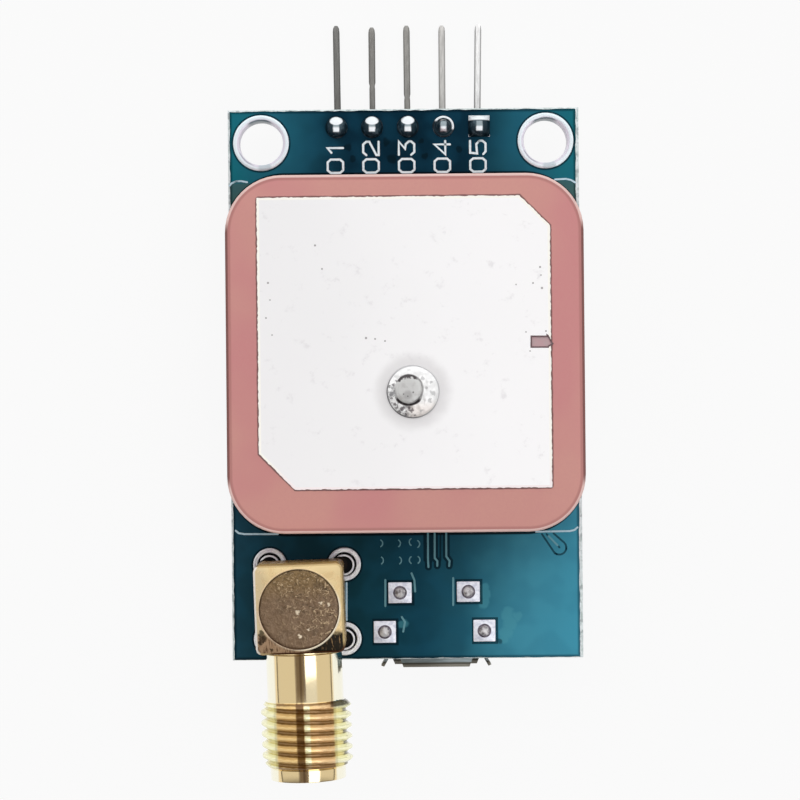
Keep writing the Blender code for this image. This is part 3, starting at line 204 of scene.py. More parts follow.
def band(value, low, risen, falling, gone):
    # 1 between risen and falling, 0 outside low and gone
    return fade(value, low, risen) * fade(value, gone, falling)


def mixColour(factor, a, b):
    node = addNode(
        treeOf(factor, a, b), "ShaderNodeMix", {0: factor, 6: a, 7: b}, data_type="RGBA"
    )
    return Wire(node.outputs[2])


def noiseOf(vector, scale, detail=2.0, roughness=0.5, output="Fac"):
    node = addNode(
        treeOf(vector), "ShaderNodeTexNoise",
        {"Vector": vector, "Scale": scale, "Detail": detail, "Roughness": roughness},
    )
    return Wire(node.outputs[output])


def stretched(point, x, y, z):
    node = addNode(treeOf(point), "ShaderNodeMapping", {"Vector": point, "Scale": (x, y, z)})
    return Wire(node.outputs["Vector"])


def warped(point, scale, amount):
    # The same point pushed about by noise, for spots and lines with uneven edges
    centred = vectorMath("SUBTRACT", noiseOf(point, scale, output="Color"), (0.5, 0.5, 0.5))
    return vectorMath("MULTIPLY_ADD", centred, (amount, amount, amount), point)


def colourRamp(value, stops):
    # Stops are (place, screen colour), the places in the value's own unit
    low, high = stops[0][0], stops[-1][0]
    share = reckon("DIVIDE", value - low, high - low, clamp=True)
    node = addNode(treeOf(value), "ShaderNodeValToRGB", {"Fac": share})
    elements = node.color_ramp.elements
    elements[0].color, elements[1].color = colour(*stops[0][1]), colour(*stops[-1][1])
    for place, tone in stops[1:-1]:
        elements.new((place - low) / (high - low)).color = colour(*tone)
    return Wire(node.outputs["Color"])


def plateEdge(axes, middle, half, corner):
    # Distance beyond a rounded rectangle's edge, and how far that edge faces along Y
    beyond = [
        abs(axes[axis] - centre) - (size - corner)
        for axis, centre, size in zip("XY", middle, half)
    ]
    outX, outY = (maximum(value, 0.0) for value in beyond)
    outside = spanOf(outX, outY)
    inside = reckon("MINIMUM", maximum(*beyond), 0.0)
    return outside + inside - corner, outY / maximum(outside, 0.001)


def spotsOf(point, spots):
    # 1 inside any of the (x, y, radius) spots seen from above, 0 away from them
    flat = vectorMath("MULTIPLY", point, (1, 1, 0))
    found = 0.0
    for x, y, radius in spots:
        away = vectorMath("DISTANCE", flat, (x, y, 0))
        found = maximum(found, fade(away, radius * 1.3, radius * 0.7))
    return found


def axesOf(point):
    outputs = addNode(treeOf(point), "ShaderNodeSeparateXYZ", {"Vector": point}).outputs
    return {axis: Wire(outputs[axis]) for axis in "XYZ"}


def boardPoint(tree):
    # Object coordinates in millimetres of the board's own frame
    mapping = {
        "Vector": addNode(tree, "ShaderNodeTexCoord").outputs["Object"],
        "Location": (0, -boardMiddle / mm, -boardLow.z / mm),
        "Scale": (1 / mm, 1 / mm, 1 / mm),
    }
    point = Wire(addNode(tree, "ShaderNodeMapping", mapping).outputs["Vector"])
    return point, axesOf(point)


def jackPoint(tree):
    # The same, but from the middle of the jack's top, with the barrel running to -Y
    point, _ = boardPoint(tree)
    middle = Matrix.Rotation(jackTurn, 3, "Z") @ Vector((jack["topX"], jack["topY"], 0))
    moved = vectorMath("SUBTRACT", point, (jackPlace[0] + middle.x, jackPlace[1] + middle.y, 0))
    turned = addNode(
        tree, "ShaderNodeVectorRotate", {"Vector": moved, "Angle": -jackTurn},
        rotation_type="Z_AXIS",
    )
    point = Wire(turned.outputs["Vector"])
    return point, axesOf(point)


def bumpOf(height, strength, distance):
    # The distance is in millimetres
    node = addNode(
        treeOf(height), "ShaderNodeBump",
        {"Height": height, "Strength": strength, "Distance": distance * mm},
    )
    return Wire(node.outputs["Normal"])


socketLabels = {
    "base": "Base Color", "coat": "Coat Weight", "coatRoughness": "Coat Roughness",
    "specular": "Specular IOR Level", "metallic": "Metallic", "roughness": "Roughness",
}


def newMaterial(name, start=boardPoint, **values):
    material = bpy.data.materials.new(name)
    material.use_nodes = True
    sockets = material.node_tree.nodes["Principled BSDF"].inputs
    for key, value in values.items():
        sockets[socketLabels[key]].default_value = value
    return material, *start(material.node_tree)


def coated(material, base, height=None, strength=1.0, depth=0.0, gloss=None):
    sockets = material.node_tree.nodes["Principled BSDF"].inputs
    base.into(sockets["Base Color"])
    if gloss:
        gloss.into(sockets["Roughness"])
    if height:
        bumpOf(height, strength, depth).into(sockets["Normal"])
    return material


def mottledMaterial(name, roughness, scale, low, high, *tones):
    material, point, _ = newMaterial(name, roughness=roughness)
    return coated(material, mixColour(fade(noiseOf(point, scale), low, high), *tones))


# Mesh helpers

def finish(bm, matrix=None, name="piece"):
    bmesh.ops.remove_doubles(bm, verts=bm.verts, dist=1e-6 if matrix is None else 1e-4)
    bmesh.ops.recalc_face_normals(bm, faces=bm.faces)
    mesh = bpy.data.meshes.new(name)
    bm.to_mesh(mesh)
    bm.free()
    if matrix is not None:
        mesh.transform(matrix)
    return mesh


def joined(meshes, name="piece"):
    bm = bmesh.new()
    for mesh in meshes:
        bm.from_mesh(mesh)
    mesh = bpy.data.meshes.new(name)
    bm.to_mesh(mesh)
    bm.free()
    return mesh


def makePiece(name, mesh, *materials, replaces=(), slot=None, angle=40):
    obj = bpy.data.objects.new(name, mesh)
    bpy.context.scene.collection.objects.link(obj)
    for material in materials:
        mesh.materials.append(material)
    mesh.shade_smooth()
    mesh.set_sharp_from_angle(angle=math.radians(angle))
    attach(obj, "root")
    if replaces:
        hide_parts(*replaces)
    return obj


def dress(node, material):
    for slot in nodes[node].material_slots:
        slot.material = material


def circlePoints(x, y, radius, count):
    turns = [fullTurn * i / count for i in range(count)]
    return [(x + radius * math.cos(t), y + radius * math.sin(t)) for t in turns]


def rectangle(left, down, right, up):
    return [(left, down), (right, down), (right, up), (left, up)]


def bridge(bm, a, b, index=0):
    # Faces between two rings of vertices, either of which may be a single point
    turns = max(len(a), len(b))
    for i in range(turns):
        j = (i + 1) % turns
        corners = (a[i % len(a)], b[i % len(b)], b[j % len(b)], a[j % len(a)])
        bm.faces.new(list(dict.fromkeys(corners))).material_index = index


def lathe(profile, segments=48, closed=False, matrix=None):
    # The profile's (radius, height) points run down the outer side
    bm = bmesh.new()
    rings = []
    for radius, height in profile:
        count = segments if radius > 1e-6 else 1
        points = circlePoints(0, 0, radius, count)
        rings.append([bm.verts.new((x, y, height)) for x, y in points])
    pairs = list(zip(rings, rings[1:]))
    if closed:
        pairs.append((rings[-1], rings[0]))
    for upper, lower in pairs:
        if len(upper) > 1 or len(lower) > 1:
            bridge(bm, upper, lower)
    return finish(bm, matrix)


def boxMesh(width, depth, low, high, corner=0.0, rim=0.0, steps=3, matrix=None):
    bm = bmesh.new()
    bmesh.ops.create_cube(bm, size=1.0)
    bmesh.ops.scale(bm, vec=(width, depth, high - low), verts=bm.verts)
    bmesh.ops.translate(bm, vec=(0, 0, (low + high) / 2), verts=bm.verts)
    for size, upright in ((corner, True), (rim, False)):
        if size:
            edges = [
                e for e in bm.edges if (abs(e.verts[0].co.z - e.verts[1].co.z) > 1e-5) == upright
            ]
            bmesh.ops.bevel(
                bm, geom=edges, offset=size, segments=steps if not upright else steps * 3,
                profile=0.5, affect="EDGES",
            )
    return finish(bm, matrix)


def flatFill(loops, z):
    # Closed loops of points filled at one height, inner loops being holes
    curve = bpy.data.curves.new("outline", "CURVE")
    curve.dimensions = "2D"
    curve.fill_mode = "FRONT"
    for loop in loops:
        spline = curve.splines.new("POLY")
        spline.points.add(len(loop) - 1)
        for point, (x, y) in zip(spline.points, loop):
            point.co = (x, y, 0, 1)
        spline.use_cyclic_u = True
    obj = bpy.data.objects.new("outline", curve)
    bpy.context.scene.collection.objects.link(obj)
    bpy.context.view_layer.update()
    graph = bpy.context.evaluated_depsgraph_get()
    mesh = bpy.data.meshes.new_from_object(obj.evaluated_get(graph))
    bpy.data.objects.remove(obj, do_unlink=True)
    bpy.data.curves.remove(curve)
    for vertex in mesh.vertices:
        vertex.co.z = z
    return mesh


def wall(bm, low, high, lowLoop, highLoop, index=0):
    lower = [bm.verts.new((x, y, low)) for x, y in lowLoop]
    upper = [bm.verts.new((x, y, high)) for x, y in highLoop]
    bridge(bm, lower, upper, index)


def plateMesh(loops, low, high, matrix=None):
    bm = bmesh.new()
    for z in (low, high):
        bm.from_mesh(flatFill(loops, z))
    for loop in loops:
        wall(bm, low, high, loop, loop)
    return finish(bm, matrix)


def stripMesh(points, width, low, high, closed=False):
    # A flat line of even width along (x, y) points, with round ends
    path = [Vector(p) for p in points]
    count = len(path)
    bm = bmesh.new()
    rows = []
    for i, here in enumerate(path):
        before = path[i - 1] if i or closed else here
        after = path[(i + 1) % count] if i < count - 1 or closed else here
        a = (here - before).normalized() if here != before else (after - here).normalized()
        b = (after - here).normalized() if here != after else a
        side = Vector((-(a + b).y, (a + b).x)).normalized()
        side *= width / 2 / max(0.5, side.dot(Vector((-a.y, a.x))))
        rows.append((here + side, here - side))
    for (l0, r0), (l1, r1) in zip(rows, rows[1:] + rows[:1] if closed else rows[1:]):
        quad = [bm.verts.new((p.x, p.y, z)) for z in (low, high) for p in (l0, r0, r1, l1)]
        for face in ((3, 2, 1, 0), (4, 5, 6, 7), (0, 1, 5, 4), (2, 3, 7, 6)):
            bm.faces.new([quad[k] for k in face])
    mesh = finish(bm)
    if closed:
        return mesh
    ends = [
        lathe([(0, high), (width / 2, high), (width / 2, low), (0, low)], 10,
              matrix=Matrix.Translation((p.x, p.y, -lower)))
        for p, lower in ((path[0], 0.001), (path[-1], 0.002))
    ]
    return joined([mesh, *ends])


def refined(node, bevel):
    # A copy of a node's mesh, merged and with its edges rounded
    bm = bmesh.new()
    bm.from_mesh(nodes[node].data)
    bmesh.ops.remove_doubles(bm, verts=bm.verts, dist=2e-6)
    bmesh.ops.dissolve_limit(bm, angle_limit=math.radians(1), verts=bm.verts, edges=bm.edges)
    bmesh.ops.recalc_face_normals(bm, faces=bm.faces)
    sharp = [
        e for e in bm.edges if e.is_manifold and e.calc_face_angle(0.0) > math.radians(30)
    ]
    bmesh.ops.bevel(
        bm, geom=sharp, offset=bevel * mm, segments=2, profile=0.5, affect="EDGES",
        clamp_overlap=True,
    )
    mesh = bpy.data.meshes.new(node)
    bm.to_mesh(mesh)
    bm.free()
    return mesh


def geometryTree(name, sizes):
    tree = bpy.data.node_groups.new(name, "GeometryNodeTree")
    tree.interface.new_socket("Geometry", in_out="INPUT", socket_type="NodeSocketGeometry")
    for key, value in sizes.items():
        kind = "NodeSocketInt" if isinstance(value, int) else "NodeSocketFloat"
        socket = tree.interface.new_socket(key, in_out="INPUT", socket_type=kind)
        socket.default_value = value
    tree.interface.new_socket("Geometry", in_out="OUTPUT", socket_type="NodeSocketGeometry")
    given = addNode(tree, "NodeGroupInput").outputs
    return tree, {socket.name: Wire(socket) for socket in given}


def endTree(tree, geometry, material):
    real = addNode(tree, "GeometryNodeRealizeInstances", {"Geometry": geometry})
    done = addNode(
        tree, "GeometryNodeSetMaterial", {"Geometry": real.outputs[0], "Material": material}
    )
    addNode(tree, "NodeGroupOutput", {"Geometry": done.outputs[0]})
    return tree


def bakeTree(tree, mesh, sizes):
    # Runs the tree on a mesh and returns the result as a plain mesh
    obj = bpy.data.objects.new(tree.name, mesh)
    bpy.context.scene.collection.objects.link(obj)
    modifier = obj.modifiers.new("Build", "NODES")
    modifier.node_group = tree
    for item in tree.interface.items_tree:
        if item.in_out == "INPUT" and item.name in sizes:
            modifier[item.identifier] = sizes[item.name]
    bpy.context.view_layer.update()
    graph = bpy.context.evaluated_depsgraph_get()
    result = bpy.data.meshes.new_from_object(obj.evaluated_get(graph))
    bpy.data.objects.remove(obj, do_unlink=True)
    result.materials.clear()
    return result


# Finishes

maskLook = {
    # Painted light: the lower ramp gets lighter towards the USB corner as painted reflection, and
    # the upper ramp is darkest round the header's joints as painted shade
    "lower": (
        (-12.5, (28, 66, 82)), (-4, (14, 54, 65)), (1, (17, 63, 80)), (4, (30, 83, 101)),
        (6.3, (51, 117, 137)), (8.7, (64, 139, 161)), (12.5, (63, 146, 171)),
    ),
    "upper": (
        (0, (3, 36, 52)), (4.5, (6, 42, 59)), (7, (22, 74, 91)), (9, (31, 94, 113)),
        (12.5, (22, 106, 118)),
    ),
    "corner": colour(66, 96, 92),
    "clouds": 0.3,
    "line": 0.12,
    "spots": (
        (-1.18, 17.36, 0.3), (-0.83, 16.08, 0.32), (-3.94, 16.95, 0.22), (-3.7, 16.0, 0.28),
        (1.55, 16.2, 0.26), (3.95, 16.6, 0.24), (1.3, 17.3, 0.2), (6.5, -18.45, 0.2),
    ),
    # Painted highlights beside the USB pads
    "paintedGleams": (
        (5.5, -14.6, 0.36), (5.55, -15.1, 0.4), (5.45, -15.6, 0.34), (7.1, -16.5, 0.45),
        (7.25, -17.1, 0.5), (7.05, -17.7, 0.5), (6.9, -18.2, 0.34), (7.8, -16.6, 0.3),
        (0.28, -14.6, 0.3), (-0.32, -17.1, 0.34),
    ),
}


def maskMaterial(name, lift=None):
    # Solder mask over copper; a painted reflection makes it lighter towards the corner beside the
    # USB socket, and painted shade darkens it round the header's joints
    material, point, axes = newMaterial(
        name, coat=0.08, coatRoughness=0.1, roughness=0.4, specular=0.02
    )
    # Painted reflection and painted shade, set by place on the board
    across = axes["X"] + (noiseOf(point, 0.3) - 0.5) * 3.0
    lower = colourRamp(across, maskLook["lower"])
    upper = colourRamp(abs(across), maskLook["upper"])
    base = mixColour(fade(axes["Y"], -4.0, 8.0), lower, upper)
    corners = band(axes["Y"], 9.0, 10.0, 14.3, 14.5)
    base = mixColour(corners * 0.85, base, maskLook["corner"])
    patch = fade(noiseOf(point, 0.55, 1.0), 0.4, 0.65) * maskLook["clouds"]
    base = mixColour(patch, base, mixColour(0.5, base, colour(28, 92, 120)))
    uneven = warped(point, 1.2, 0.7)
    # Painted highlights: light smears beside the USB pads
    paintedGleams = spotsOf(uneven, maskLook["paintedGleams"])
    base = mixColour(paintedGleams * 0.42, base, colour(78, 152, 166))
    spots = spotsOf(uneven, maskLook["spots"])
    base = mixColour(spots * 0.55, base, colour(2, 16, 20))
    distance, _ = plateEdge(
        axes, ((edge["left"] - edge["right"]) / 2, (edge["bottom"] - edge["top"]) / 2),
        (
            board["halfWidth"] - (edge["left"] + edge["right"]) / 2,
            board["halfLength"] - (edge["top"] + edge["bottom"]) / 2,
        ),
        0.05,
    )
    rim = fade(distance, -maskLook["line"] * 2, -maskLook["line"] * 0.6, 1.0, 0.42)
    # Painted shadow of the antenna on the mask along its edge, wider further from the middle; the
    # same dark tone also lines the mask's cut edge
    half = antenna["size"] / 2
    antennaEdge, _ = plateEdge(axes, (0, antenna["y"]), (half, half), antenna["corner"])
    shade = fade(antennaEdge - abs(axes["Y"]) * 0.023, 0.2, 0.1) * 0.93
    base = mixColour(rim * (1.0 - shade), colour(0, 8, 14), base)
    if lift:
        base = mixColour(0.72, base, lift)
    return coated(material, base, noiseOf(point, 7.0), 0.2, 0.006)


def laminateMaterial(name, pale, dark):
    # Cut edge of the board: layers of glass cloth, with grey dashes where fibres tore
    material, point, _ = newMaterial(name, roughness=0.62)
    layers = noiseOf(stretched(point, 1.1, 1.1, 9.0), 1.6, 3.0, 0.7)
    dashes = fade(noiseOf(point, 1.9), 0.5, 0.66)
    base = mixColour(fade(layers, 0.35, 0.7), pale, dark)
    base = mixColour(dashes * 0.55, base, colour(120, 132, 134))
    return coated(material, base, layers, 0.5, 0.05)


def metalMaterial(name, base, roughness, grain, depth, stain, spread=0.06, **more):
    # Plated or soldered metal: fine waves in the surface, uneven gloss and a faint stain
    material, point, _ = newMaterial(name, metallic=1.0, **more)
    waves = noiseOf(point, grain, 3.0, 0.6)
    blotch = noiseOf(point, grain * 0.22, 2.0)
    stained = mixColour(fade(blotch, 0.42, 0.72, 0.0, 0.5), base, stain)
    gloss = fade(waves, 0.3, 0.7, roughness - spread, roughness + spread)
    return coated(material, stained, waves, 0.6, depth, gloss)


def plasticMaterial(name, base, roughness, grain=5.0, depth=0.008):
    material, point, _ = newMaterial(name)
    speckle = noiseOf(point, grain, 4.0, 0.65)
    lighter = tuple(min(1.0, v * 1.5 + 0.004) for v in base[:3]) + (1.0,)
    tone = mixColour(fade(speckle, 0.4, 0.8, 0.0, 0.6), base, lighter)
    gloss = fade(speckle, 0.3, 0.7, roughness - 0.07, roughness + 0.07)
    return coated(material, tone, speckle, 0.5, depth, gloss)


def inkMaterial(name, bright, thin):
    # Printed ink, thin in places so that the mask shows through a little
    material, point, _ = newMaterial(name, roughness=0.6, specular=0.1)
    worn = fade(noiseOf(point, 7.0, 3.0), 0.45, 0.75, 0.0, 0.5)
    return coated(material, mixColour(worn, bright, thin), worn, 0.3, 0.01)


def tinMaterial(name, bright, dull, metallic=0.25, grain=3.0, depth=0.02):
    # Pale tin: mostly its own tone, so that it stays light under the dark middle of the tent
    material, point, _ = newMaterial(name, metallic=metallic, roughness=0.34)
    waves = noiseOf(point, grain, 3.0, 0.6)
    return coated(material, mixColour(fade(waves, 0.4, 0.68), bright, dull), waves, 0.5, depth)


boardMask = maskMaterial("boardMask")
# Lighter mask over the copper lines, also used for the painted highlights on the vias
traceAndViaHighlightMask = maskMaterial("traceAndViaHighlightMask", lift=colour(116, 166, 176))
gapMask = maskMaterial("gapMask", lift=colour(0, 16, 26))
cutLaminate = laminateMaterial("cutLaminate", colour(222, 230, 232), colour(178, 192, 190))
whiteInk = inkMaterial("whiteInk", colour(228, 242, 246), colour(176, 204, 214))
paleInk = inkMaterial("paleInk", colour(190, 218, 230), colour(138, 176, 192))
tinPlate = metalMaterial(
    "tinPlate", (0.72, 0.73, 0.79, 1), 0.32, grain=3.0, depth=0.03, stain=(0.6, 0.6, 0.66, 1)
)
padTin = tinMaterial("padTin", colour(238, 240, 250), colour(206, 210, 226))
brightSolder = metalMaterial(
    "brightSolder", (0.84, 0.84, 0.86, 1), 0.2, grain=2.6, depth=0.04, stain=(0.6, 0.6, 0.62, 1)
)
jackGold = metalMaterial(
    "jackGold", (0.9, 0.715, 0.405, 1), 0.1, grain=1.4, depth=0.008, spread=0.03,
    stain=(0.86, 0.66, 0.36, 1), coat=0.6, coatRoughness=0.05,
)
canSheet = metalMaterial(
    "canSheet", (0.68, 0.68, 0.66, 1), 0.34, grain=2.0, depth=0.015, stain=(0.58, 0.58, 0.57, 1)
)
cellSteel = metalMaterial(
    "cellSteel", (0.7, 0.7, 0.68, 1), 0.24, grain=5.0, depth=0.006, stain=(0.6, 0.6, 0.6, 1)
)
blackPlastic = plasticMaterial("blackPlastic", colour(26, 26, 28), 0.5)
chipResin = plasticMaterial("chipResin", colour(34, 34, 36), 0.62, grain=9.0)
whiteFluoro = plasticMaterial("whiteFluoro", colour(236, 234, 226), 0.48, grain=2.0)
foamTape = plasticMaterial("foamTape", colour(226, 222, 210), 0.8, grain=6.0, depth=0.03)
moduleLaminate = plasticMaterial("moduleLaminate", colour(20, 74, 48), 0.42, grain=3.0)
resistorGlaze = plasticMaterial("resistorGlaze", colour(30, 30, 34), 0.3)
capacitorClay = plasticMaterial("capacitorClay", colour(150, 118, 86), 0.5)
ledResin = plasticMaterial("ledResin", colour(232, 222, 184), 0.25, grain=1.0)
print("finishes ready")


# Circuit board with bare cut edges, plated holes, copper lines under the mask and white ink

holes = {
    "mount": {"radius": 1.68, "segments": 48},
    "pin": {"radius": 0.5, "segments": 24},
    "leg": {"radius": 0.85, "segments": 32},
    "contact": {"radius": 0.75, "segments": 24},
    "usb": {"radius": 0.55, "segments": 24},
    "feed": {"radius": 0.65, "segments": 24},
}


def holeLoops():
    places = [("mount", s * board["mountX"], board["mountY"]) for s in (-1, 1)]
    places += [("pin", x, board["headerY"]) for x in pinXs]
    places += [("leg", x, y) for x, y in jackLegs]
    places.append(("contact", board["jackX"], board["jackY"]))
    places += [("usb", x, y) for x, y, *_ in usbPad["places"]]
    places.append(("feed", board["feedX"], board["feedY"]))
    return [
        circlePoints(x, y, holes[kind]["radius"], holes[kind]["segments"]) for kind, x, y in places
    ]


def edgeLoops():
    # Where the board ends, and where its mask ends
    random.seed(edge["seed"])
    x, y = board["halfWidth"], board["halfLength"]
    corners = rectangle(-x, -y, x, y)
    low = (-x + edge["left"], -y + edge["bottom"])
    high = (x - edge["right"], y - edge["top"])
    outer, inner = [], []
    for (ax, ay), (bx, by) in zip(corners, corners[1:] + corners[:1]):
        count = round(math.hypot(bx - ax, by - ay) / edge["step"])
        for i in range(count):
            px, py = ax + (bx - ax) * i / count, ay + (by - ay) * i / count
            outer.append((px, py))
            off = random.uniform(-1, 1) * edge["waver"] if i else 0.0
            offX, offY = (0.0, off) if ay == by else (off, 0.0)
            inner.append((
                min(max(px, low[0]), high[0]) + offX, min(max(py, low[1]), high[1]) + offY,
            ))
    return outer, inner


def buildBoard():
    drop = edge["drop"]
    loops = holeLoops()
    outer, inner = edgeLoops()
    bm = bmesh.new()
    for z in (0.0, front):
        bm.from_mesh(flatFill([inner, *loops], z))
    wall(bm, 0.0, drop, inner, outer, 1)
    wall(bm, drop, front - drop, outer, outer, 1)
    wall(bm, front - drop, front, outer, inner, 1)
    for loop in loops:
        wall(bm, 0.0, front, loop, loop, 2)
    mesh = finish(bm, boardToWorld, "circuitBoard")
    makePiece(
        "circuitBoard", mesh, boardMask, cutLaminate, tinPlate,
        replaces=["circuit_board"], slot="solder_mask", angle=15,
    )


clearance = {"round": 0.13, "rise": 0.004, "left": 0.1, "right": 0.19, "up": 0.17, "down": 0.18}


def buildClearances():
    # Dark gaps that the mask leaves round the pads
    low, high, wide = front - 0.001, front + clearance["rise"], clearance["round"]
    rounds = [(x, y, 1.2) for x, y in jackLegs]
    rounds += [(side * board["mountX"], board["mountY"], 1.98) for side in (-1, 1)]
    shapes = [
        [circlePoints(x, y, radius + wide, 64), circlePoints(x, y, radius - 0.08, 64)]
        for x, y, radius in rounds
    ]
    for x, y, width, depth in usbPad["places"]:
        halfX, halfY = width / 2, depth / 2
        left, right = x - halfX - clearance["left"], x + halfX + clearance["right"]
        down, up = y - halfY - clearance["down"], y + halfY + clearance["up"]
        halfX, halfY = halfX - 0.1, halfY - 0.1
        shapes.append([
            rectangle(left, down, right, up),
            rectangle(x - halfX, y - halfY, x + halfX, y + halfY),
        ])
    mesh = joined([plateMesh(loops, low, high) for loops in shapes])
    mesh.transform(boardToWorld)
    makePiece("padClearances", mesh, gapMask)


ink = {"width": 0.13, "rise": 0.02, "digitHeight": 1.1, "digitWidth": 0.95, "digitStroke": 0.155}
digitStrokes = {
    "0": [(0.2, 0), (0.8, 0), (1, 0.2), (1, 0.8), (0.8, 1), (0.2, 1), (0, 0.8), (0, 0.2), (0.2, 0)],
    "1": [(0.2, 0.75), (0.55, 1), (0.55, 0)],
    "2": [(0, 0.8), (0.2, 1), (0.8, 1), (1, 0.8), (1, 0.6), (0, 0.15), (0, 0), (1, 0)],
    "3": [
        (0, 1), (1, 1), (0.45, 0.6), (0.8, 0.55), (1, 0.35), (1, 0.2), (0.8, 0), (0.2, 0),
        (0, 0.2),
    ],
    "4": [(0.75, 0), (0.75, 1), (0, 0.3), (1, 0.3)],
    "5": [
        (1, 1), (0.1, 1), (0.05, 0.55), (0.75, 0.6), (1, 0.4), (1, 0.2), (0.8, 0), (0.2, 0),
        (0, 0.15),
    ],
}


def printedDigits(text, x, y):
    # Plain pin numbers that read from below upwards, as the board's own printing does
    meshes = []
    advance = ink["digitWidth"] + 0.3
    for place, digit in enumerate(text):
        points = [
            (x - (v - 0.5) * ink["digitHeight"], y + place * advance + u * ink["digitWidth"])
            for u, v in digitStrokes[digit]
        ]
        meshes.append(stripMesh(points, ink["digitStroke"], front, front + ink["rise"]))
    return meshes


def arcPoints(x, y, radius, start, end, count=8):
    steps = [math.radians(start + (end - start) * i / count) for i in range(count + 1)]
    return [(x + radius * math.cos(t), y + radius * math.sin(t)) for t in steps]


inkLines = {
    "antennaTopLeft": [
        (-12.4, 14.24), (-12.28, 14.4), (-11.95, 14.55), (-11.59, 14.56), (-11.16, 14.48),
    ],
    "antennaTopRight": [(10.79, 14.47), (11.57, 14.5), (11.93, 14.42), (12.22, 14.24)],
    "antennaBottomLeft": [(-12.2, -10.35), (-12.0, -10.52), (-11.6, -10.6), (-9.2, -10.62)],
    "antennaBottomRight": [(9.2, -10.62), (11.6, -10.6), (11.95, -10.52), (12.16, -10.34)],
    "jackSide": [(-4.334, -14.15), (-4.359, -16.79)],
}


def buildInk():
    low, high = front, front + ink["rise"]
    lines = joined([stripMesh(points, ink["width"], low, high) for points in inkLines.values()])
    digits = []
    for number, x in enumerate(pinXs, 1):
        digits += printedDigits(f"0{number}", x - 0.1, 15.08)
    for name, mesh, material in (
        ("printedLines", lines, paleInk), ("printedDigits", joined(digits), whiteInk)
    ):
        mesh.transform(boardToWorld)
        makePiece(name, mesh, material)


copper = {"traceWidth": 0.14, "gapWidth": 0.14, "wideGap": 0.5, "rise": 0.03, "sweep": 130.0}
traces = [
    [(1.5, -10.2), (1.48, -12.43), (1.51, -13.07)],
    [(1.98, -10.2), (1.96, -12.43), (2.15, -12.65), (2.14, -12.99)],
    [(2.8, -10.2), (2.79, -12.33), (3.02, -12.65), (2.99, -13.01)],
    [(-1.57, -13.96), (-1.59, -15.82)],
    [(0.3, -13.5), (0.5, -14.0), (0.55, -14.8)],
    [(3.27, -13.87), (3.25, -15.79)],
    [(-0.42, -16.61), (-0.2, -16.97), (-0.33, -17.65)],
    [(10.1, -10.95), (10.72, -11.6)],
]

gaps = [
    [(9.62, -10.8), *arcPoints(10.85, -11.77, 0.5, -135, 45, 10), (10.45, -10.75)],
    [(9.95, -10.8), (10.6, -11.5)],
    [(10.8, -11.68), (10.86, -11.76)],
    [(1.24, -10.2), (1.24, -12.6)], [(1.73, -10.2), (1.72, -12.7)], [(2.4, -10.2), (2.36, -12.6)],
]

# Painted highlights: where the lit side of each via sits, turned right or left
viaHighlights = {
    "right": [
        (-1.74, -11.35), (-0.47, -11.36), (-1.7, -12.57), (-0.41, -12.58), (0.9, -11.42),
        (0.91, -12.55),
    ],
    "left": [(0.16, -11.27), (0.15, -12.56)],
}


def buildCopper():
    low, high = front, front + copper["rise"]
    for name, paths, width, top, material in (
        ("copperLines", traces, copper["traceWidth"], high, traceAndViaHighlightMask),
        ("copperGaps", gaps, copper["gapWidth"], front + 0.005, gapMask),
        ("traceGaps", traces[:3], copper["wideGap"], front + 0.003, gapMask),
    ):
        mesh = joined([stripMesh(points, width, low, top) for points in paths])
        mesh.transform(boardToWorld)
        makePiece(name, mesh, material)


def buildViaHighlights():
    # Painted highlight on the lit side of each via under the mask: a flat light arc on each point,
    # turned to one side
    sizes = {"radius": 0.28, "sweep": copper["sweep"], "turn": 0.0, "width": 0.09, "rise": 0.015}
    tree, given = geometryTree("viaHighlights", sizes)
    sweep = reckon("RADIANS", given["sweep"])
    arc = addNode(
        tree, "GeometryNodeCurveArc",
        {
            "Resolution": 14, "Radius": given["radius"], "Start Angle": sweep * -0.5,
            "Sweep Angle": sweep,
        },
    )
    section = addNode(
        tree, "GeometryNodeCurvePrimitiveCircle",
        {"Resolution": 6, "Radius": given["width"] * 0.5},
    )
    tube = addNode(
        tree, "GeometryNodeCurveToMesh",
        {
            "Curve": arc.outputs["Curve"], "Profile Curve": section.outputs["Curve"],
            "Fill Caps": True,
        },
    )
    squash = given["rise"] / given["width"]
    flat = addNode(tree, "ShaderNodeCombineXYZ", {"X": 1.0, "Y": 1.0, "Z": squash})
    turned = addNode(tree, "ShaderNodeCombineXYZ", {"Z": reckon("RADIANS", given["turn"])})
    copies = addNode(
        tree, "GeometryNodeInstanceOnPoints",
        {
            "Points": given["Geometry"], "Instance": tube.outputs["Mesh"],
            "Rotation": turned.outputs[0], "Scale": flat.outputs[0],
        },
    )
    meshes = []
    ends = endTree(tree, copies.outputs["Instances"], traceAndViaHighlightMask)
    for side, turn in (("right", 0.0), ("left", 180.0)):
        points = bpy.data.meshes.new("viaPoints")
        shift = -sizes["radius"] if side == "right" else sizes["radius"]
        points.from_pydata([(x + shift, y, front) for x, y in viaHighlights[side]], [], [])
        meshes.append(bakeTree(ends, points, {**sizes, "turn": turn}))
    mesh = joined(meshes)
    mesh.transform(boardToWorld)
    makePiece("viaHighlights", mesh, traceAndViaHighlightMask)


buildBoard()
buildClearances()
buildInk()
buildCopper()
buildViaHighlights()
print("board ready")


# Plated rings of the mounting holes

mountRing = {
    "bore": 1.56, "land": 1.98, "crown": 0.08, "outer": colour(228, 240, 246),
    "inner": colour(214, 212, 224), "shade": colour(96, 114, 122),
}


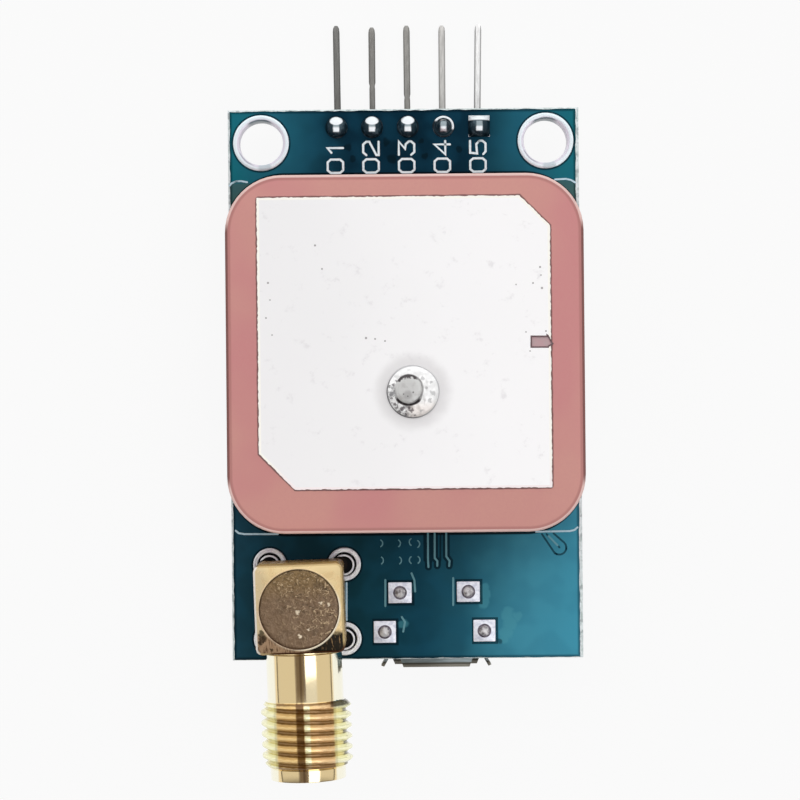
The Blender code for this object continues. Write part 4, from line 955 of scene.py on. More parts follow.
def ringMaterial():
    # Bright outer band, duller inner band, and painted shade: a grey crescent by the bore's wall on
    # the far side and a thin one on the near side, with a darker stretch on the near side
    material, point, axes = newMaterial("ringTin", metallic=0.15, roughness=0.34)
    side = reckon("SIGN", axes["X"]) * board["mountX"]
    dx = axes["X"] - side
    dy = axes["Y"] - board["mountY"]
    radius = spanOf(dx, dy)
    wobble = (noiseOf(point, 1.6) - 0.5) * 0.06
    radius = radius + wobble
    base = mixColour(fade(radius, 1.7, 1.76), mountRing["inner"], mountRing["outer"])
    turn = reckon("ARCTAN2", dy, dx)
    # Painted shade: a grey crescent on the far side and a thin one on the near side
    far = band(turn, 0.9, 1.3, 2.0, 2.3)
    near = band(turn, -2.8, -2.6, -2.1, -1.8)
    farBand = fade(radius, 1.7, 1.64)
    nearBand = band(radius, 1.6, 1.64, 1.67, 1.72)
    marks = far * farBand + near * nearBand * 0.6
    base = mixColour(marks, base, mountRing["shade"])
    foot = band(turn, -1.75, -1.6, -1.25, -1.1)
    base = mixColour(foot * 0.8, base, colour(178, 194, 200))
    waves = noiseOf(point, 3.0, 3.0)
    return coated(material, base, waves, 0.4, 0.02)


def buildMountRings():
    bore, land, crown = mountRing["bore"], mountRing["land"], mountRing["crown"]
    tin = ringMaterial()
    profile = [
        (bore, front - 0.12), (bore + 0.02, front + 0.02), (bore + 0.08, front + crown * 0.7),
        (1.74, front + crown * 0.8), (1.83, front + crown), (land - 0.07, front + crown * 0.85),
        (land, front + 0.03), (land, front - 0.01), (bore + 0.13, front - 0.01),
        (bore + 0.13, 0.01), (land, 0.01), (land, -0.02), (land - 0.08, -0.075),
        (1.76, -crown), (bore + 0.08, -0.085), (bore + 0.02, -0.03), (bore, 0.12),
    ]
    for side, name in ((-1, "left"), (1, "right")):
        mesh = lathe(profile, 72, closed=True, matrix=at(side * board["mountX"], board["mountY"]))
        makePiece(
            f"mountRing{name.title()}", mesh, tin, replaces=[f"mount_ring_{name}"],
            slot="tinned_copper",
        )


buildMountRings()


# Patch antenna

ceramicLook = {
    # rim, inside and edge are painted light on the rounded top edge, and line is a painted shadow
    # along the silver's edge
    "pink": colour(199, 140, 136), "tan": colour(203, 147, 138), "rose": colour(199, 134, 134),
    "rim": colour(222, 188, 182), "inside": colour(172, 116, 112), "edge": colour(126, 84, 80),
    "line": colour(122, 88, 86),
}


def ceramicMaterial():
    # Fired clay with painted light on its rounded top edge: a pale painted highlight, painted shade
    # just inside it and on the edges facing along X, and a painted shadow line where the silver
    # ends
    material, point, axes = newMaterial("antennaCeramic", roughness=0.55, specular=0.2)
    broad = noiseOf(point, 0.12)
    grain = noiseOf(point, 5.5, 4.0, 0.7)
    base = mixColour(fade(broad, 0.38, 0.62), ceramicLook["rose"], ceramicLook["tan"])
    base = mixColour(fade(grain, 0.3, 0.75, 0.0, 0.5), base, ceramicLook["pink"])
    half = antenna["size"] / 2
    distance, facing = plateEdge(axes, (0, antenna["y"]), (half, half), antenna["corner"])
    shy = distance + grain * 0.03
    # Painted shade just inside the rounded top edge, a painted highlight on it where it faces along
    # Y and painted shade where it faces along X
    inside = fade(shy, -0.42, -0.28) * fade(shy, -0.12, -0.18, 0.0, 0.75)
    base = mixColour(inside, base, ceramicLook["inside"])
    rim = mixColour(fade(facing, 0.0, 0.25), ceramicLook["edge"], ceramicLook["rim"])
    base = mixColour(fade(shy, -0.2, -0.14), base, rim)
    topFace = fade(axes["Z"], antenna["high"] - 0.3, antenna["high"] - 0.2)
    base = mixColour(topFace, ceramicLook["rose"], base)
    # Painted shadow line round the electrode's edge
    outline = electrodeEdge(axes)
    ragged = noiseOf(point, 2.4) * 0.09
    line = fade(outline - ragged, electrode["line"], 0.02)
    base = mixColour(line * topFace, base, ceramicLook["line"])
    return coated(material, base, grain, 0.35, 0.012)


silverLook = {
    # rim and rimLow are painted highlights along the silver's edge
    "left": colour(241, 240, 241), "right": colour(251, 250, 251), "rim": colour(253, 250, 242),
    "rimLow": colour(248, 238, 238), "mark": colour(128, 122, 122), "streak": colour(216, 213, 216),
    "marks": (
        (-6.22, 9.67, 0.07), (-5.75, 8.03, 0.06), (9.43, 8.02, 0.07), (9.49, 7.46, 0.05),
        (8.93, 6.91, 0.06), (9.55, 6.56, 0.08), (7.75, 6.82, 0.05), (9.8, 3.56, 0.06),
        (8.41, 3.51, 0.05), (8.68, 2.18, 0.05), (-9.52, 7.09, 0.07), (-9.39, 5.9, 0.05),
        (-9.68, 4.65, 0.06), (-9.27, 3.46, 0.05), (-2.1, 3.12, 0.06), (-2.73, 3.19, 0.08),
        (-1.41, 2.97, 0.06),
    ),
}


def buildCeramic():
    size = antenna["size"]
    mesh = boxMesh(
        size, size, antenna["low"], antenna["high"], corner=antenna["corner"],
        rim=antenna["rim"], steps=4, matrix=at(0, antenna["y"]),
    )
    makePiece(
        "antennaCeramic", mesh, ceramicMaterial(), replaces=["antenna_ceramic"], slot="ceramic"
    )


electrode = {
    "x": -0.06, "y": 2.85, "halfX": 10.2, "halfY": 10.17, "cutRight": 2.1, "cutLeft": 2.5,
    "low": 5.95, "high": 6.01, "step": 0.16, "waver": 0.03, "seed": 7, "line": 0.1,
}


def electrodeEdge(axes):
    # Distance beyond the electrode's edge, its two cut corners included
    distance, _ = plateEdge(
        axes, (electrode["x"], electrode["y"]), (electrode["halfX"], electrode["halfY"]), 0.12
    )
    reach = electrode["halfX"] + electrode["halfY"]
    along = axes["X"] - electrode["x"] + (axes["Y"] - electrode["y"])
    for sign, cut in ((1, electrode["cutRight"]), (-1, electrode["cutLeft"])):
        beyond = along * sign - (reach - cut)
        distance = maximum(distance, beyond * 0.7071)
    return distance


def electrodeMaterial():
    # Fired silver: satin white with a painted highlight along its rim, a few small marks and a
    # painted shade ring round the feed's solder
    material, point, axes = newMaterial("firedSilver", roughness=0.5, specular=0.15)
    broad = noiseOf(point, 0.14)
    fine = noiseOf(point, 9.0, 3.0, 0.6)
    across = axes["X"] + broad * 8.0
    base = mixColour(fade(across, -7.0, 14.0), silverLook["left"], silverLook["right"])
    rubbed = fade(noiseOf(point, 0.8, 4.0, 0.7), 0.58, 0.74, 0.0, 0.45)
    base = mixColour(rubbed, base, silverLook["streak"])
    # Painted shade: a grey ring round the feed's solder
    feedMiddle = (board["feedX"] + 0.16, board["feedY"] - 0.18, electrode["high"])
    away = vectorMath("DISTANCE", point, feedMiddle)
    ragged = away + noiseOf(point, 1.3) * 0.4
    base = mixColour(fade(ragged, 3.2, 2.2, 0.0, 0.75), base, colour(220, 218, 219))
    marks = spotsOf(point, silverLook["marks"])
    base = mixColour(marks * 0.8, base, silverLook["mark"])
    # Painted highlight along the rim, pinker at the bottom
    distance = electrodeEdge(axes)
    low = fade(axes["Y"], electrode["y"] - 8.0, electrode["y"] - 9.8)
    rim = mixColour(low, silverLook["rim"], silverLook["rimLow"])
    base = mixColour(fade(distance, -0.19, -0.13), base, rim)
    return coated(material, base, fine, 0.25, 0.008)


notch = {
    "outline": [
        (9.95, 2.49), (9.95, 2.44), (8.76, 2.45), (8.77, 3.21), (9.87, 3.2), (9.87, 3.3),
        (9.94, 3.25),
    ],
    "low": 2.6, "high": 2.86, "line": 0.1, "fill": colour(182, 156, 158),
    "dark": colour(106, 86, 88),
}


def electrodeLoop():
    x0, x, y = electrode["x"], electrode["halfX"], electrode["halfY"]
    right, left = electrode["cutRight"], electrode["cutLeft"]
    middle = electrode["y"]
    trim = [(px - x0, py - middle) for px, py in notch["outline"]]
    corners = [
        (-x, y), (-x, -y + left), (-x + left, -y), (x, -y), (x, notch["low"] - middle), *trim,
        (x, notch["high"] - middle), (x, y - right), (x - right, y),
    ]
    random.seed(electrode["seed"])
    points = []
    for (ax, ay), (bx, by) in zip(corners, corners[1:] + corners[:1]):
        length = math.hypot(bx - ax, by - ay)
        count = max(1, int(length / electrode["step"]))
        waver = electrode["waver"] if length > 1.6 else 0.0
        for i in range(count):
            t = i / count
            off = random.uniform(-waver, waver) if i else 0.0
            points.append((
                ax + (bx - ax) * t - (by - ay) / length * off + x0,
                ay + (by - ay) * t + (bx - ax) / length * off + middle,
            ))
    return points


def buildElectrode():
    bore = circlePoints(board["feedX"], board["feedY"], 0.65, 24)
    mesh = plateMesh([electrodeLoop(), bore], electrode["low"], electrode["high"], boardToWorld)
    makePiece(
        "antennaElectrode", mesh, electrodeMaterial(), replaces=["antenna_electrode"],
        slot="silver",
    )
    # The trimmed notch: bare clay with a dark outline
    darkOutline = mottledMaterial(
        "notchDarkOutline", 0.7, 6.0, 0.4, 0.7, notch["dark"], colour(90, 62, 66)
    )
    bare = mottledMaterial(
        "trimmedClay", 0.7, 3.0, 0.35, 0.65, notch["fill"], colour(186, 152, 156)
    )
    edgePoint = [(10.14, notch["high"]), (10.26, 2.69), (10.14, notch["low"])]
    loop = notch["outline"] + edgePoint
    low = electrode["low"]
    floor = plateMesh([loop], low - 0.01, low + 0.012, boardToWorld)
    line = stripMesh(loop, notch["line"], low + 0.001, electrode["high"] + 0.006, closed=True)
    line.transform(boardToWorld)
    makePiece("notchFloor", floor, bare)
    makePiece("notchOutline", line, darkOutline)


feed = {
    "headX": -0.15, "headY": 0.014, "headRadius": 0.97, "stretch": 1.06, "headHigh": 6.53,
    "headLow": 6.03, "shank": 0.45, "tail": -0.6, "solderRadius": 1.84, "solderHigh": 0.34,
    "shiftX": 0.161, "shiftY": -0.183,
}

feedLook = {
    "head": colour(204, 204, 203), "white": colour(246, 246, 246), "grey": colour(146, 146, 148),
    "pink": colour(232, 222, 216), "rim": colour(186, 186, 188), "dark": colour(34, 26, 30),
    "patch": (0.12, -0.82, 0.42),
    "blobs": (
        (1.89, -0.67, 0.18), (1.77, 0.05, 0.14), (1.21, 0.38, 0.13), (1.43, -0.31, 0.12),
        (1.68, -1.19, 0.13), (1.03, -1.9, 0.13),
    ),
    "pits": (
        (-0.22, -1.73, 0.17), (-0.83, -1.4, 0.12), (-0.45, -1.96, 0.11), (0.07, -1.97, 0.09),
        (0.41, -1.83, 0.12), (0.59, -2.27, 0.07), (-0.85, -0.06, 0.1), (-0.61, 0.14, 0.09),
        (-0.6, -1.62, 0.1), (-0.98, -1.08, 0.1), (0.2, -1.66, 0.12), (-0.1, -2.2, 0.08),
        (-0.72, -2.0, 0.07), (-1.1, -0.2, 0.07),
    ),
    "nicks": ((-0.15, -0.74, 0.05), (0.14, -0.89, 0.05), (0.52, -0.62, 0.06)),
}


def fromFeed(axes, x, y):
    # Distance and direction from a point beside the feed pin
    dx = axes["X"] - (board["feedX"] + x)
    dy = axes["Y"] - (board["feedY"] + y)
    return spanOf(dx, dy), reckon("ARCTAN2", dy, dx)


def feedSolderMaterial():
    # White on the right as painted reflection, mottled grey on the lower left as painted shade and
    # pitted there, with a painted shadow under the head
    material, point, axes = newMaterial("feedSolder", metallic=0.15, roughness=0.3)
    away, _ = fromFeed(axes, feed["shiftX"], feed["shiftY"])
    mottle = noiseOf(point, 2.2, 3.0, 0.65)
    # Painted shade: grey and mottled towards the lower left
    left = fade(axes["X"] + axes["Y"] * 0.8, 0.5, -1.6)
    grey = fade(mottle, 0.42, 0.6) * fade(left, 0.0, 1.0, 0.15, 1.0)
    base = mixColour(grey, feedLook["white"], feedLook["grey"])
    low = fade(axes["Y"], -1.0, -1.8) * fade(axes["X"], -0.2, 0.6)
    base = mixColour(low * 0.7, base, feedLook["pink"])
    uneven = warped(point, 3.0, 0.5)
    blobs = spotsOf(uneven, feedLook["blobs"])
    base = mixColour(blobs * 0.55, base, feedLook["grey"])
    pits = spotsOf(uneven, feedLook["pits"]) * 0.72
    base = mixColour(pits, base, colour(70, 58, 64))
    # Darker outer edge, with painted shade darker still on the lower left
    outer = feed["solderRadius"]
    rim = fade(away, outer - 0.11, outer - 0.04)
    rimTone = mixColour(left, feedLook["rim"], colour(104, 104, 106))
    base = mixColour(rim, base, rimTone)
    # Painted shadow: a dark crescent round most of the head, strongest below it
    headAway, headTurn = fromFeed(axes, feed["headX"], feed["headY"])
    below = band(headTurn, -2.9, -2.3, -0.9, -0.3)
    width = below * 0.13
    reach = width + (feed["headRadius"] + 0.05)
    headShadow = fade(headAway - reach, 0.05, 0.0)
    eastern = fade(reckon("COSINE", headTurn), -0.75, -0.3, 0.0, 0.6)
    headShadow = headShadow * maximum(below, eastern)
    base = mixColour(headShadow, base, feedLook["dark"])
    return coated(material, base, mottle, 0.5, 0.05)


def feedHeadMaterial():
    material, point, axes = newMaterial("feedHead", metallic=0.15, roughness=0.4)
    away, turn = fromFeed(axes, feed["headX"], feed["headY"])
    mottle = noiseOf(point, 2.4, 3.0, 0.6)
    base = mixColour(fade(mottle, 0.5, 0.7, 0.0, 0.5), feedLook["head"], colour(176, 174, 172))
    # Painted shadow: a dark ragged rim along the top and the right of the head
    top = band(turn, 0.7, 1.0, 2.4, 2.7)
    ragged = noiseOf(stretched(point, 2.6, 2.6, 2.6), 2.0)
    ragged = ragged * fade(top, 0.0, 1.0, 0.16, 0.44)
    rim = fade(away + ragged, feed["headRadius"], feed["headRadius"] + 0.07)
    right = fade(reckon("COSINE", turn), 0.2, 0.7, 0.0, 0.6)
    base = mixColour(rim * maximum(top, right), base, colour(60, 54, 56))
    x, y, size = feedLook["patch"]
    patchAway = vectorMath("DISTANCE", point, (x, y, feed["headHigh"]))
    patchAway = patchAway + mottle * 0.3
    patch = fade(patchAway, size + 0.2, size - 0.1, 0.0, 0.75)
    base = mixColour(patch, base, colour(160, 158, 158))
    nicks = spotsOf(point, feedLook["nicks"])
    base = mixColour(nicks * 0.7, base, feedLook["dark"])
    return coated(material, base, mottle, 0.4, 0.03)


def buildFeed():
    head = feed["headRadius"]
    high, low = feed["headHigh"], feed["headLow"]
    top = [
        (0, high - 0.03), (head * 0.35, high - 0.01), (head * 0.68, high),
        (head * 0.86, high - 0.03), (head * 0.96, high - 0.1), (head, high - 0.2), (head, low),
        (0, low),
    ]
    shank = [
        (0, low), (feed["shank"], low), (feed["shank"], feed["tail"] + 0.1),
        (feed["shank"] - 0.1, feed["tail"]), (0, feed["tail"]),
    ]
    headMesh = lathe(top, 64)
    headMesh.transform(Matrix.Diagonal((1, feed["stretch"], 1, 1)))
    headMesh.transform(at(board["feedX"] + feed["headX"], board["feedY"] + feed["headY"]))
    shankMesh = lathe(shank, 32, matrix=at(board["feedX"], board["feedY"]))
    makePiece(
        "feedPin", joined([headMesh, shankMesh]), feedHeadMaterial(),
        replaces=["antenna_feed_pin"], slot="solder",
    )
    bm = bmesh.new()
    turns, rows = 96, 16
    outer, inner = feed["solderRadius"], head - 0.08
    grid = []
    for row in range(rows + 1):
        share = row / rows
        ring = []
        for i in range(turns):
            t = fullTurn * i / turns
            facing = Vector((math.cos(t), math.sin(t)))
            bulge = 1 + 0.02 * noise.noise(Vector((facing.x * 1.5, facing.y * 1.5, 2.0)))
            edgeAt = facing * outer * bulge + Vector((feed["shiftX"], feed["shiftY"]))
            start = facing * inner + Vector((feed["headX"], feed["headY"]))
            p = start.lerp(edgeAt, share)
            rise = feed["solderHigh"] * (1 - share ** 2.2) ** 0.6
            rough = 0.06 * noise.noise(Vector((p.x * 2.6, p.y * 2.6, 1.0)))
            pit = noise.noise(Vector((p.x * 4.2, p.y * 4.2, 5.0)))
            rise += rough * math.sin(math.pi * share) - 0.16 * max(0.0, pit - 0.28)
            ring.append(bm.verts.new((p.x, p.y, low + max(0.012, rise))))
        grid.append(ring)
    foot = [bm.verts.new((v.co.x, v.co.y, low)) for v in grid[-1]]
    neck = [bm.verts.new((v.co.x, v.co.y, low)) for v in grid[0]]
    for a, b in [*zip(grid, grid[1:]), (grid[-1], foot), (foot, neck), (neck, grid[0])]:
        bridge(bm, a, b)
    mesh = finish(bm, at(board["feedX"], board["feedY"]))
    makePiece(
        "feedSolder", mesh, feedSolderMaterial(), replaces=["feed_solder_front"], slot="solder",
        angle=80,
    )


buildCeramic()
buildElectrode()
buildFeed()
dress("antenna_tape", foamTape)
dress("feed_solder_back", brightSolder)
print("antenna ready")


# Header: bent square pins, each with its own painted brightness for the light it reflects, and
# their solder joints

pins = {
    "size": 0.48, "runZ": -2.72, "bend": 0.7, "tailTop": 2.1, "taper": 0.45, "tipScale": 0.45,
    "reach": (6.56, 6.42, 6.53, 6.52, 6.58),
    "splay": (-0.06, -0.01, -0.02, 0.01, 0.12),
    "splayFrom": 19.3, "splayTo": 26,
    # Each pin's tone is its painted brightness for the light it reflects, and its edges are
    # darkened as painted shade
    "tone": ((122, 121, 118), (138, 136, 132), (156, 154, 150), (208, 206, 203), (255, 255, 255)),
    "edgeShade": (0.5, 0.5, 0.5, 0.5, 0.3),
    "nick": {2: 2.16, 3: 1.3},
    "narrow": {2: 0.86, 3: 0.9},
}


def pinMaterial(number, x):
    # Painted light along the middle and painted shade towards the two edges
    tone = pins["tone"][number - 1]
    light, dim = colour(*tone), colour(*(v * 0.88 for v in tone))
    dark = tuple(v * pins["edgeShade"][number - 1] for v in light[:3]) + (1.0,)
    material, point, axes = newMaterial(f"pinTinPaintedLight{number}", metallic=0.2)
    streaks = noiseOf(stretched(point, 5.0, 0.7, 5.0), 1.3, 4.0, 0.6)
    base = mixColour(fade(streaks, 0.35, 0.68), dim, light)
    splay = pins["splay"][number - 1]
    lean = (axes["Y"] - pins["splayFrom"]) * (splay / (pins["splayTo"] - pins["splayFrom"]))
    lean = reckon("MAXIMUM" if splay > 0 else "MINIMUM", lean, 0.0)
    off = abs(axes["X"] - (lean + x)) + (streaks - 0.5) * 0.08
    base = mixColour(fade(off, 0.11, 0.2), base, dark)
    return coated(material, base, streaks, 0.4, 0.02, gloss=fade(streaks, 0.3, 0.7, 0.3, 0.42))


def sweptSquare(path, sizes, matrix):
    # A square bar with bevelled edges along (y, z) points, one (width, height) for each point
    bm = bmesh.new()
    rings = []
    for i, (y, z) in enumerate(path):
        y0, z0 = path[max(0, i - 1)]
        y1, z1 = path[min(len(path) - 1, i + 1)]
        along = Vector((0, y1 - y0, z1 - z0)).normalized()
        up = Vector((0, -along.z, along.y))
        width, height = sizes[i][0] / 2, sizes[i][1] / 2
        cut = min(width, height) * 0.22
        corners = [
            (-width + cut, height), (width - cut, height), (width, height - cut),
            (width, -height + cut), (width - cut, -height), (-width + cut, -height),
            (-width, -height + cut), (-width, height - cut),
        ]
        rings.append([bm.verts.new(Vector((x, y, z)) + up * h) for x, h in corners])
    for a, b in zip(rings, rings[1:]):
        bridge(bm, a, b)
    bm.faces.new(rings[0])
    bm.faces.new(rings[-1])
    return finish(bm, matrix)


def buildPin(number, x):
    size, bend, runZ = pins["size"], pins["bend"], pins["runZ"]
    edgeY = board["halfLength"]
    baseY, baseZ = board["headerY"], runZ + bend
    tip = edgeY + pins["reach"][number - 1]
    tail = pins["tailTop"]
    path = [(baseY, tail), (baseY, tail - 0.08), (baseY, tail - pins["taper"])]
    scales = [0.5, 0.62, 1.0]
    for step in range(9):
        turn = quarter * step / 8
        path.append((baseY + bend * (1 - math.cos(turn)), baseZ - bend * math.sin(turn)))
        scales.append(1.0)
    nick = pins["nick"].get(number)
    narrow = pins["narrow"].get(number, 1.0)
    marks = [19.9, 20.6]
    if nick:
        marks += [edgeY + nick + step for step in (-0.25, 0.0, 0.25)]
    marks += [edgeY + 3.0, edgeY + 4.2, tip - pins["taper"], tip - 0.18, tip]
    for y in marks:
        path.append((y, runZ))
        share = 1.0
        if nick and y < edgeY + nick:
            share = narrow
        if nick and abs(y - edgeY - nick) < 0.01:
            share = narrow * 0.88
        scales.append(share)
    scales[-3:] = [1.0, 0.86, pins["tipScale"]]
    last = len(path) - 3
    sizes = [(size * s, size * (s if i < 3 or i > last else 1.0)) for i, s in enumerate(scales)]
    mesh = sweptSquare(path, sizes, Matrix.Translation((x, 0, 0)))
    for vertex in mesh.vertices:
        beyond = max(0.0, vertex.co.y - pins["splayFrom"]) / (pins["splayTo"] - pins["splayFrom"])
        vertex.co.x += pins["splay"][number - 1] * beyond
    mesh.transform(boardToWorld)
    makePiece(
        f"headerPin{number}", mesh, pinMaterial(number, x), replaces=[f"header_pin_{number}"],
        slot="pin_metal", angle=25,
    )


# Rows are (height, half width, far reach, near reach): the crown slopes up to the near side
joint = {
    "rows": (
        (0.0, 0.77, 0.77, -0.77), (0.1, 0.75, 0.76, -0.765), (0.3, 0.68, 0.74, -0.74),
        (0.5, 0.56, 0.68, -0.7), (0.6, 0.45, 0.61, -0.64), (0.66, 0.37, 0.42, -0.6),
        (0.71, 0.27, 0.12, -0.56), (0.745, 0.18, -0.15, -0.52), (0.76, 0.08, -0.3, -0.45),
        (0.765, 0.0, -0.38, -0.38),
    ),
    "turns": 40, "pad": 0.78, "squareHalf": 0.76, "rise": 0.05, "small": 0.6, "shiftY": -0.26,
    # bright and dim are painted highlights; the two dark tones are a painted reflection of the
    # board
    "bright": colour(232, 238, 242), "dim": colour(146, 160, 166), "dark": colour(24, 44, 54),
    "darkReflection": colour(6, 20, 28),
}


def jointMaterial():
    # Painted highlights: a bright cap on the far half with a narrow tongue below it; the rest is a
    # dark painted reflection of the board
    material, point, axes = newMaterial("jointSolder", metallic=0.15, roughness=0.3, specular=0.2)
    waves = noiseOf(point, 2.4, 3.0, 0.6)
    bend = (waves - 0.5) * 0.3
    start = pinXs[0] - board["pinPitch"] / 2
    column = axes["X"] - start
    number = reckon("FLOOR", column / board["pinPitch"])
    step = number * board["pinPitch"]
    dx = column - step - board["pinPitch"] / 2
    dy = axes["Y"] - (board["headerY"] + joint["shiftY"])
    fourth = reckon("COMPARE", number, 3.0)
    fifth = reckon("COMPARE", number, 4.0)
    wide = (dx / 0.47) ** 2
    deep = ((dy - 0.4) / 0.3) ** 2
    cap = wide + deep + bend
    cap = fade(cap, 1.15, 0.8)
    cap = cap * (1.0 - (fourth + fifth))
    off = abs(dx) + bend * 0.4
    tongue = fade(off, 0.27, 0.17) * fade(dy, -0.44, -0.34)
    tongue = tongue * fade(dy, 0.36, 0.28)
    low = reckon("LESS_THAN", axes["Z"], front + joint["rise"] + 0.02)
    bar = fade(dy, 0.34, 0.44) * fade(abs(dx), 0.78, 0.72)
    corner = fade(dy, -0.56, -0.64) * fade(abs(dx), 0.6, 0.66)
    square = maximum(bar, corner * low) * fifth
    away = spanOf(dx, dy)
    crescent = band(away, 0.58, 0.62, 0.73, 0.77)
    crescent = crescent * fade(dy + dx * 0.5, 0.02, 0.22)
    crescent = crescent * fourth
    # Painted highlights: the cap, the square pad's bar and the fourth joint's crescent
    lit = maximum(cap, maximum(square, crescent))
    # Painted reflection of the board on the steep sides, darkest at the outer edge
    darkReflection = mixColour(fade(away, 0.6, 0.76), joint["dark"], joint["darkReflection"])
    base = mixColour(fade(waves, 0.5, 0.66) * 0.4, darkReflection, colour(90, 110, 120))
    tongueTone = mixColour(fade(dy, 0.02, -0.14), joint["dim"], joint["bright"])
    base = mixColour(tongue, base, tongueTone)
    base = mixColour(lit, base, joint["bright"])
    return coated(material, base, waves, 0.5, 0.03)


def jointMesh(number, x):
    bm = bmesh.new()
    turns, small = joint["turns"], number == 4
    rings = []
    for high, wide, far, near in joint["rows"]:
        middle, deep = (far + near) / 2, (far - near) / 2
        if small:
            wide, deep, middle = wide * joint["small"], deep * joint["small"], middle * 0.5
        square = max(0.0, 1 - high / 0.55) if number == 5 else 0.0
        ring = []
        for i in range(turns if wide else 1):
            t = fullTurn * i / turns
            c, s = math.cos(t), math.sin(t)
            out = 1 + square * (0.97 / max(abs(c), abs(s)) - 1)
            waver = 1 + 0.03 * math.sin(2 * t + number * 1.7) + 0.02 * math.cos(3 * t + number)
            if number == 5:
                waver = 1.0
            reach = out * waver
            ring.append(bm.verts.new((wide * reach * c, middle + deep * reach * s, high)))
        rings.append(ring)
    for a, b in zip(rings, rings[1:]):
        bridge(bm, a, b)
    bm.faces.new(rings[0])
    y = board["headerY"] + joint["shiftY"]
    return finish(bm, Matrix.Translation((x, y, front + joint["rise"])))


def buildJoint(number, x):
    rise, radius = joint["rise"], joint["pad"]
    meshes = [jointMesh(number, x)]
    place = Matrix.Translation((x, board["headerY"] + joint["shiftY"], front))
    if number == 5:
        width = 2 * joint["squareHalf"]
        meshes.append(boxMesh(width, width, 0, rise, rim=0.02, matrix=place))
    else:
        profile = [(0, rise), (radius - 0.05, rise), (radius, 0.02), (radius, 0), (0, 0)]
        meshes.append(lathe(profile, 40, matrix=place))
    if number == 4:
        lip = [
            (0.54, rise), (0.6, rise + 0.05), (0.68, rise + 0.07), (0.75, rise + 0.03),
            (0.75, rise),
        ]
        meshes.append(lathe(lip, 40, matrix=place))
    mesh = joined(meshes)
    mesh.transform(boardToWorld)
    makePiece(
        f"headerSolder{number}", mesh, jointSolder, replaces=[f"header_solder_{number}"],
        slot="solder", angle=50,
    )


def buildHeaderBase():
    # The far side stays behind the board's edge, as in the photograph
    mesh = refined("header_base", 0.08)
    limit = (boardToWorld @ Vector((0, board["halfLength"] - 0.12, 0))).y
    for vertex in mesh.vertices:
        vertex.co.y = min(vertex.co.y, limit)
    makePiece("headerBase", mesh, blackPlastic, replaces=["header_base"], slot="black_plastic")


jointSolder = jointMaterial()
for number, x in enumerate(pinXs, 1):
    buildPin(number, x)
    buildJoint(number, x)
buildHeaderBase()
print("header ready")


# Coaxial jack: the dictionary's lengths run along the barrel from the block's centre

jack = {
    "axisZ": 3.23, "start": 3.17, "neckRadius": 2.675, "neckLength": 3.35, "threadLength": 4.55,
    "noseRadius": 2.65, "noseLength": 0.95, "mouthRadius": 2.3,
    "mouthDepth": 1.9, "boreRadius": 2.08, "spigotEnd": 1.97, "spigotRadius": 2.45,
    "blockLow": 0.1, "blockHigh": 6.4, "blockHalf": 3.08, "capRadius": 2.74, "topX": -0.1,
    "topY": 0.035,
}
thread = {
    "radius": 3.165, "pitch": 0.75, "depth": 0.38, "start": jack["start"] + jack["neckLength"],
    "length": jack["threadLength"], "ramp": 0.42, "turns": 120, "rows": 190,
}
jackNose = thread["start"] + thread["length"] + jack["noseLength"]
jackAxis = jackToWorld @ Matrix.Translation((0, 0, jack["axisZ"])) @ forward
jackTop = jackToWorld @ Matrix.Translation((jack["topX"], jack["topY"], 0))

barrelLook = {
    # Tones for painted light on the gold: groove is painted shade; pale, blush, stripe, line and
    # cream are painted reflections
    "gold": colour(238, 212, 158), "pale": colour(252, 248, 226), "thread": colour(236, 200, 134),
    "blush": colour(240, 202, 148), "groove": colour(128, 90, 34), "stripe": colour(100, 62, 12),
    "line": colour(140, 110, 72), "cream": colour(255, 252, 208),
}


def barrelMaterial():
    # Bright gold with painted reflections: almost white at its two sides, with one dark stripe
    # along the top and cream beside it
    material, point, axes = newMaterial(
        "barrelGold", metallic=1.0, roughness=0.1, coat=0.8, coatRoughness=0.05,
        start=jackPoint,
    )
    x = axes["X"] + jack["topX"]
    waves = noiseOf(point, 1.4)
    # Painted reflections: two dark lines, cream beside them and pale at the sides
    lines = band(x, -0.62, -0.56, -0.5, -0.44) + band(x, -0.3, -0.24, -0.14, -0.08)
    base = mixColour(lines * 0.5, barrelLook["gold"], barrelLook["line"])
    cream = band(x, -0.04, 0.04, 0.8, 1.0)
    base = mixColour(cream, base, colour(244, 226, 184))
    side = fade(abs(x), 1.92, 2.1)
    base = mixColour(side, base, barrelLook["pale"])
    return coated(material, base, waves, 0.5, 0.006)


